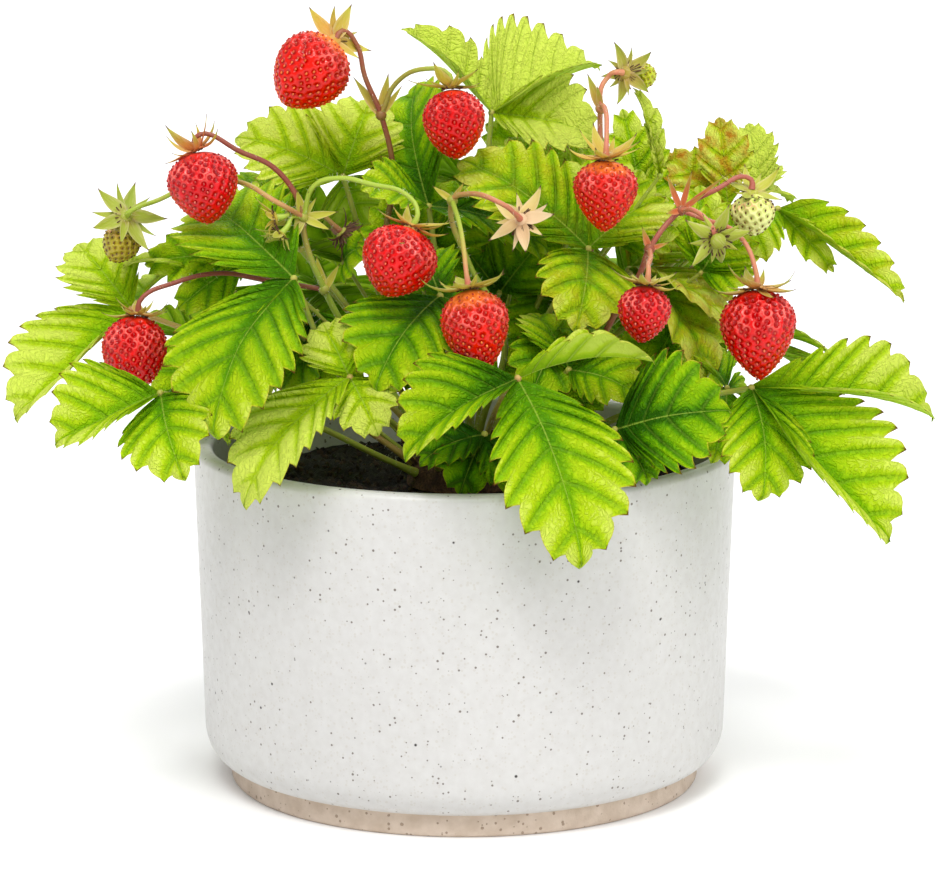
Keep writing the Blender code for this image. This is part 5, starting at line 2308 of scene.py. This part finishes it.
@dataclass
class Calyx:
    """A star of five sepals and five slim bracts between them, with the dry stamens beneath."""

    name: str
    plan: StarPlan
    seed: int
    arms: int = 10
    slim: float = 0.78
    broad_width: float = 0.33
    slim_width: float = 0.17
    heart: float = 1.7
    few_stamens: int = 14

    def seat(self) -> tuple[Array, Array]:
        """The middle of the calyx and the way to its stalk.

        Returns:
            The point, and the direction at length one.
        """
        if self.name in BARE_CALYXES:
            centre, up = BARE_CALYXES[self.name]
            return np.array(centre), unit(np.array(up))
        berry = BERRIES[self.name.replace("calyx", "berry")]
        top = np.array(berry.top)
        up = unit(top - np.array(berry.apex))
        return top + 0.3 * up, up

    def joint(self) -> tuple[Array, Array]:
        """Where the stalk meets the calyx, and the way it comes in."""
        seat, up = self.seat()
        return seat + 0.8 * up, up

    def middle(self) -> list[Part]:
        """The heart of the star, and its knob if it has one, in its own frame.

        Returns:
            The parts.
        """
        plan = self.plan
        parts = [globe(0.35 * UP, self.heart, (plan.pink, plan.yellow, 0.0), 0.3)]
        if plan.knob:
            parts.append(globe(-0.8 * plan.knob * UP, plan.knob, (0.0, 0.3, 0.0), 0.8))
        for part in parts:
            part.shape[:, :] = (0.2, 0.0, 0.0)
        return parts

    def sepals(self, rng: np.random.Generator) -> list[Part]:
        """The sepals and the slim bracts between them, in the star's own frame.

        Args:
            rng: Gives the random draws.

        Returns:
            The parts.
        """
        plan, parts = self.plan, []
        for k in range(self.arms):
            broad = k % 2 == 0
            angle = FULL_TURN * k / self.arms + rng.normal(0.0, 0.07)
            reach = plan.radius * (1.0 if broad else self.slim) * rng.uniform(0.9, 1.06)
            lift = plan.curl * reach + rng.normal(0.0, plan.unruly) * reach
            way = np.array((math.cos(angle), math.sin(angle), 0.0))
            width = plan.radius * (self.broad_width if broad else self.slim_width) * rng.uniform(0.9, 1.1)
            look = (plan.pink * rng.uniform(0.6, 1.2), plan.yellow * rng.uniform(0.7, 1.2), plan.dry)
            base = 0.9 * way + (0.3 if broad else 0.12) * UP
            parts.append(scale_part(base, reach * way + lift * UP, width, look, rng.uniform(0.3, 1.5)))
        return parts

    def stamens(self, rng: np.random.Generator) -> list[Part]:
        """The threads of the stamens, in the star's own frame.

        Args:
            rng: Gives the random draws.

        Returns:
            The parts.
        """
        count, parts = self.plan.stamens, []
        loose = 1.0 if count > self.few_stamens else 0.0
        for k in range(count):
            angle = FULL_TURN * (k + rng.uniform(-0.3, 0.3)) / count
            way = np.array((math.cos(angle), math.sin(angle), 0.0))
            out = rng.uniform(2.2, 3.6 + loose)
            end = out * way + (rng.uniform(-0.5, 0.5) - loose) * UP
            path = smooth_path([1.2 * way, 0.6 * out * way - 0.1 * UP, end], 0.9)
            radii = np.linspace(0.11, 0.08, len(path))
            radii[-2:] = 0.19
            parts.append(swept(path, radii, 4, (0.0, 0.0, 0.0)))
        return parts

    def build(self, shop: Workshop) -> None:
        """Casts the calyx and hands it over.

        Args:
            shop: The materials and trees that dress the piece.
        """
        rng = np.random.default_rng(self.seed)
        seat, up = self.seat()
        axes = frame_towards(unit(up + np.array(self.plan.lean)))
        mould = Mould(self.name)
        for part in self.middle() + self.sepals(rng):
            mould.add(part.moved(axes, seat), 0)
        for part in self.stamens(rng):
            mould.add(part.moved(axes, seat), 1)
        obj = mould.cast([shop.palette.sepal, shop.palette.stamen])
        shop.hand_over(obj, self.name if self.name.startswith("calyx") else None)


# --- Fruit stalks ---


@dataclass(frozen=True)
class Branch:
    """A run of fruit stalk: its points, the calyx at its end, its thickness and its colour.

    blush and olive are read evenly spread from its start to its end.
    """

    points: tuple[Point, ...]
    calyx: str
    radius: float = 0.65
    blush: tuple[float, ...] = (0.6,)
    olive: tuple[float, ...] = (0.4,)


MAIN = 1.0

FRUIT_STALKS = {
    "fruit_stalk_top": (
        Branch(
            ((-20, -4, 140), (-18, -7, 158), (-21, -10, 174), (-25, -12, 184), (-27, -12.5, 192)),
            "calyx_01", MAIN, (0.4, 0.4, 0.5, 0.9, 0.9), (1.0, 1.0, 1.0, 0.9, 0.7),
        ),
        Branch(
            ((-21, -10, 174), (-17, -13, 182.5), (-9.5, -18, 186.5)), "calyx_05", blush=(0.4, 0.0),
            olive=(0.6, 0.2),
        ),
    ),
    "fruit_stalk_left": (
        Branch(
            (
                (-27, -18, 116), (-35, -26, 132), (-40, -28, 147), (-40, -28, 150.5), (-46, -29, 162),
                (-55, -30, 167),
            ),
            "calyx_02", MAIN, (-0.6, -0.6, -0.5, -0.4, 0.0, 1.1, 1.0, 1.0),
            (0.0, 0.0, 0.0, 0.1, 0.3, 0.9, 1.0, 0.7),
        ),
        Branch(
            ((-40, -28, 150.5), (-46, -34, 155), (-57, -24, 159), (-69, -17, 157), (-77, -14, 153)),
            "calyx_10", blush=(0.8, -0.1), olive=(0.1, 0.1),
        ),
        Branch(
            ((-40, -28, 150.5), (-37, -31, 159), (-31, -33, 161), (-23, -37, 160), (-14, -42, 158)),
            "calyx_04", blush=(-0.2, 0.0), olive=(0.0, 0.1),
        ),
        Branch(
            ((-35, -26, 132), (-50, -23, 134), (-61, -25, 136), (-72, -27, 134)), "calyx_03",
            blush=(0.9, 1.1), olive=(0.9, 0.8),
        ),
        Branch(((-40, -28, 150.5), (-43, -31, 151)), "bud_left_low", blush=(0.0, 0.0), olive=(0.0, 0.0)),
        Branch(((-40, -28, 150.5), (-44, -30, 153)), "bud_left_high", blush=(0.1, 0.0), olive=(0.0, 0.0)),
        Branch(((-40, -28, 150.5), (-36, -26, 151)), "spent_flower", blush=(0.2, 0.8), olive=(0.2, 0.9)),
    ),
    "fruit_stalk_centre": (
        Branch(
            ((10, -22, 121), (1, -26, 139), (-3, -30, 155), (0, -33, 157), (9, -42, 156)), "calyx_13", MAIN,
            (-0.4, -0.4, -0.2, 0.6, 1.0), (0.7, 0.6, 0.4, 0.2, 0.1),
        ),
        Branch(
            ((-3, -30, 155), (-1, -42, 150), (0, -50, 145)), "calyx_06", blush=(-0.3, 0.1, 0.9),
            olive=(0.4, 0.1, 0.0),
        ),
    ),
    "fruit_stalk_right": (
        Branch(
            (
                (32, -12, 140), (33, -14, 153), (34, -18, 166), (34, -22, 177), (35, -30, 177),
                (35, -36, 172),
            ),
            "calyx_07", MAIN, (0.5, 0.9), (0.8, 0.0),
        ),
        Branch(
            ((34, -22, 177), (34, -22, 182), (36, -21, 185)), "calyx_12", blush=(0.9, 0.8), olive=(0.0, 0.0)
        ),
    ),
    "fruit_stalk_far_right": (
        Branch(
            (
                (31, -18, 110), (37, -24, 124), (44, -29, 137), (46, -31, 143), (54, -26, 152),
                (62, -27, 157),
            ),
            "calyx_11", MAIN, (0.7, 1.1), (0.9, 0.5),
        ),
        Branch(
            ((46, -31, 143), (46, -38, 142), (45, -46, 141)), "calyx_08", blush=(0.9, 0.8), olive=(0.2, 0.0)
        ),
        Branch(
            ((54, -26, 152), (60, -28, 150), (68, -36, 147)), "calyx_09", blush=(1.0, 0.8), olive=(0.3, 0.0)
        ),
        Branch(((54, -26, 152), (57, -34, 153)), "calyx_14", blush=(0.9, 0.9), olive=(0.0, 0.0)),
    ),
}

# The bracts at each fork: how pink and how yellow they are, then the tip and the width of each.
BRACTS = {
    (-21, -10, 174): ((0.3, 0.6), ((-28, -12, 184), 2.4), ((-19, -13, 185), 2.6), ((-15.5, -14, 182), 1.6)),
    (-40, -28, 150.5): (
        (0.0, 0.8), ((-41.5, -31, 158), 2.4), ((-38.5, -31, 157.5), 1.6), ((-36.5, -30, 156), 1.2),
        ((-48, -33, 149), 2.0), ((-46, -34, 145.5), 2.2), ((-43, -33, 144), 1.8), ((-31, -32, 152.5), 2.0),
        ((-33, -33, 148), 1.8),
    ),
    (-35, -26, 132): ((0.1, 0.8), ((-37, -28, 141), 2.0), ((-31, -28, 139), 1.8)),
    (-3, -30, 155): ((0.1, 0.9), ((-8, -32, 159), 1.5), ((-6, -30, 158), 1.3), ((0, -33, 160), 1.2)),
    (34, -22, 177): ((0.4, 0.3), ((30.5, -23, 186), 2.4), ((33, -25, 183), 1.6)),
    (46, -31, 143): ((1.0, 0.6), ((44, -33, 149), 1.6), ((51, -33, 145), 1.2)),
    (54, -26, 152): (
        (1.1, 0.4), ((50, -31, 162), 1.5), ((56.5, -31, 163), 1.4), ((50, -32, 152), 1.5),
        ((60, -30, 157), 1.4), ((65, -33, 162), 1.2),
    ),
}


@dataclass
class FruitStalk:
    """A branched fruit stalk with a swelling and pointed bracts at each fork."""

    name: str
    branches: tuple[Branch, ...]
    calyxes: dict[str, Calyx]
    seed: int
    end_radius: float = 0.585
    fork_radius: float = 1.45
    bract_facing: Point = (0.0, -1.0, 0.2)
    hairs_per_mm2: float = 0.35
    hair_length: float = 1.2

    def run(self, branch: Branch, crown: Crown | None) -> Part:
        """One run of the stalk, from the crown or from its fork to its calyx.

        Args:
            branch: The run.
            crown: The crown if this is the main run, or else None.

        Returns:
            The part.
        """
        end, up = self.calyxes[branch.calyx].joint()
        knots = [np.array(point, float) for point in branch.points]
        knots = (crown.root(knots[0]) if crown else []) + knots + [end + 2.5 * up, end]
        path = smooth_path(knots, 1.7)
        radii = np.linspace(branch.radius, self.end_radius, len(path))
        radii[-3:] *= (1.08, 1.25, 1.5)
        stops = np.linspace(0.0, 1.0, 9)
        shades = (branch.blush, branch.olive)
        marks = [np.interp(stops, np.linspace(0.0, 1.0, len(shade)), shade) for shade in shades]
        return swept(path, radii, 10, *[(blush, olive, 1.0) for blush, olive in zip(*marks)])

    def bracts(self, fork: Point) -> list[Part]:
        """The pointed bracts that spread from a fork.

        Args:
            fork: The fork.

        Returns:
            The parts.
        """
        look, *tips = BRACTS[fork]
        base, face = np.array(fork, float), np.array(self.bract_facing)
        return [scale_part(base, np.array(tip, float), width, (*look, 0.0), 0.5, face) for tip, width in tips]

    def build(self, shop: Workshop, crown: Crown) -> None:
        """Casts the stalk, grows its down and hands it over.

        Args:
            shop: The materials and trees that dress the piece.
            crown: The crown that the stalk grows from.
        """
        main, *others = self.branches
        mould = Mould(self.name)
        mould.add(self.run(main, crown))
        for branch in others:
            mould.add(self.run(branch, None))
        look = (float(np.mean(main.blush)), float(np.mean(main.olive)), 1.0)
        for fork in dict.fromkeys(branch.points[0] for branch in others):
            mould.add(globe(np.array(fork, float), self.fork_radius, look))
            for bract in self.bracts(fork):
                mould.add(bract, 1)
        obj = mould.cast([shop.palette.stalk, shop.palette.sepal])
        shop.grow_down(obj, self.hairs_per_mm2, self.hair_length, self.seed)
        shop.hand_over(obj, self.name)


# --- Studio ---


@dataclass(frozen=True)
class Lamp:
    """A distant soft lamp.

    side is how far round to the right of the camera it stands and rise its height above the floor,
    in degrees. spread is how wide it looks from the plant, in degrees, and power its light in watts
    a square metre.
    """

    name: str
    side: float
    rise: float
    spread: float
    power: float

    def build(self) -> None:
        """Hangs the lamp."""
        lamp = bpy.data.lights.new(self.name, "SUN")
        lamp.angle = math.radians(self.spread)
        lamp.energy = self.power
        rise, turn = math.radians(self.rise), math.radians(self.side)
        flat = math.cos(rise)
        away = np.array((flat * math.sin(turn), -flat * math.cos(turn), math.sin(rise)))
        linked(self.name, lamp).matrix_world = Matrix(frame_towards(away).tolist()).to_4x4()


@dataclass
class Studio:
    """A plain pale floor, a pale surround, soft lamps and the camera."""

    camera_place: Point = (0.0013, -1.0, 0.2888)
    camera_pitch: float = 0.1965
    lens: float = 151.05
    sensor: float = 36.0
    clip: Pair = (0.05, 50.0)
    floor_half: float = 12.0
    floor_shade: float = 0.9
    surround: float = 0.5
    lamps: tuple[Lamp, ...] = (
        Lamp("key", -22.0, 56.0, 36.0, 1.12),
        Lamp("window", -10.0, 60.0, 18.0, 1.08),
        Lamp("fill", 42.0, 38.0, 46.0, 1.1),
        Lamp("back", 165.0, 50.0, 44.0, 1.2),
    )

    def build(self) -> None:
        """Adds the floor, the surround, the lamps and the camera."""
        self.add_floor()
        self.add_surround()
        for lamp in self.lamps:
            lamp.build()
        self.add_camera()

    def add_floor(self) -> None:
        """A wide pale floor that the pot stands on."""
        half, shade = self.floor_half, (self.floor_shade,) * 3
        mesh = bpy.data.meshes.new("floor")
        corners = [(-half, -half, 0.0), (half, -half, 0.0), (half, half, 0.0), (-half, half, 0.0)]
        mesh.from_pydata(corners, [], [(0, 1, 2, 3)])
        coat = Coat("floor_paper", shade)
        mesh.materials.append(coat.wear(Base_Color=shade, Roughness=0.8, Specular_IOR_Level=0.1))
        linked("floor", mesh)

    def add_surround(self) -> None:
        """An even pale sky."""
        world = bpy.data.worlds.new("surround")
        world.use_nodes = True
        sky = world.node_tree.nodes["Background"]
        sky.inputs["Color"].default_value = (1.0, 1.0, 1.0, 1.0)
        sky.inputs["Strength"].default_value = self.surround
        bpy.context.scene.world = world

    def add_camera(self) -> None:
        """A long lens that looks a little down at the plant."""
        camera = bpy.data.cameras.new("camera")
        camera.sensor_fit = "HORIZONTAL"
        camera.sensor_width = self.sensor
        camera.lens = self.lens
        camera.clip_start, camera.clip_end = self.clip
        obj = linked("camera", camera)
        obj.location = self.camera_place
        obj.rotation_euler = (QUARTER - self.camera_pitch, 0.0, 0.0)
        bpy.context.scene.camera = obj
        bpy.context.scene.view_settings.view_transform = "Standard"


def main() -> None:
    """Builds the studio, the pot and the plant, piece by piece."""
    logging.basicConfig(level=logging.INFO, format="%(name)s: %(message)s")
    Studio().build()
    shop = Workshop()
    Pot().build(shop)
    Soil().build(shop)
    crown = Crown()
    crown.build(shop)
    for seed, (name, plan) in enumerate(LEAVES.items(), start=100):
        Leaf(name, plan, seed).build(shop, crown)
    for seed, (name, plan) in enumerate(INNER_LEAVES.items(), start=200):
        Leaf(name, plan, seed, Detail.PLAIN, stalk_radius=0.6, hub_radius=0.8).build(shop, crown)
    calyxes = {name: Calyx(name, plan, seed) for seed, (name, plan) in enumerate(STARS.items(), start=300)}
    for calyx in calyxes.values():
        calyx.build(shop)
    for seed, (name, branches) in enumerate(FRUIT_STALKS.items(), start=400):
        FruitStalk(name, branches, calyxes, seed).build(shop, crown)
    for seed, (name, plan) in enumerate(BERRIES.items(), start=500):
        Berry(name, plan, seed).build(shop)
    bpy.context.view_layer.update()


if __name__ == "__main__":
    main()
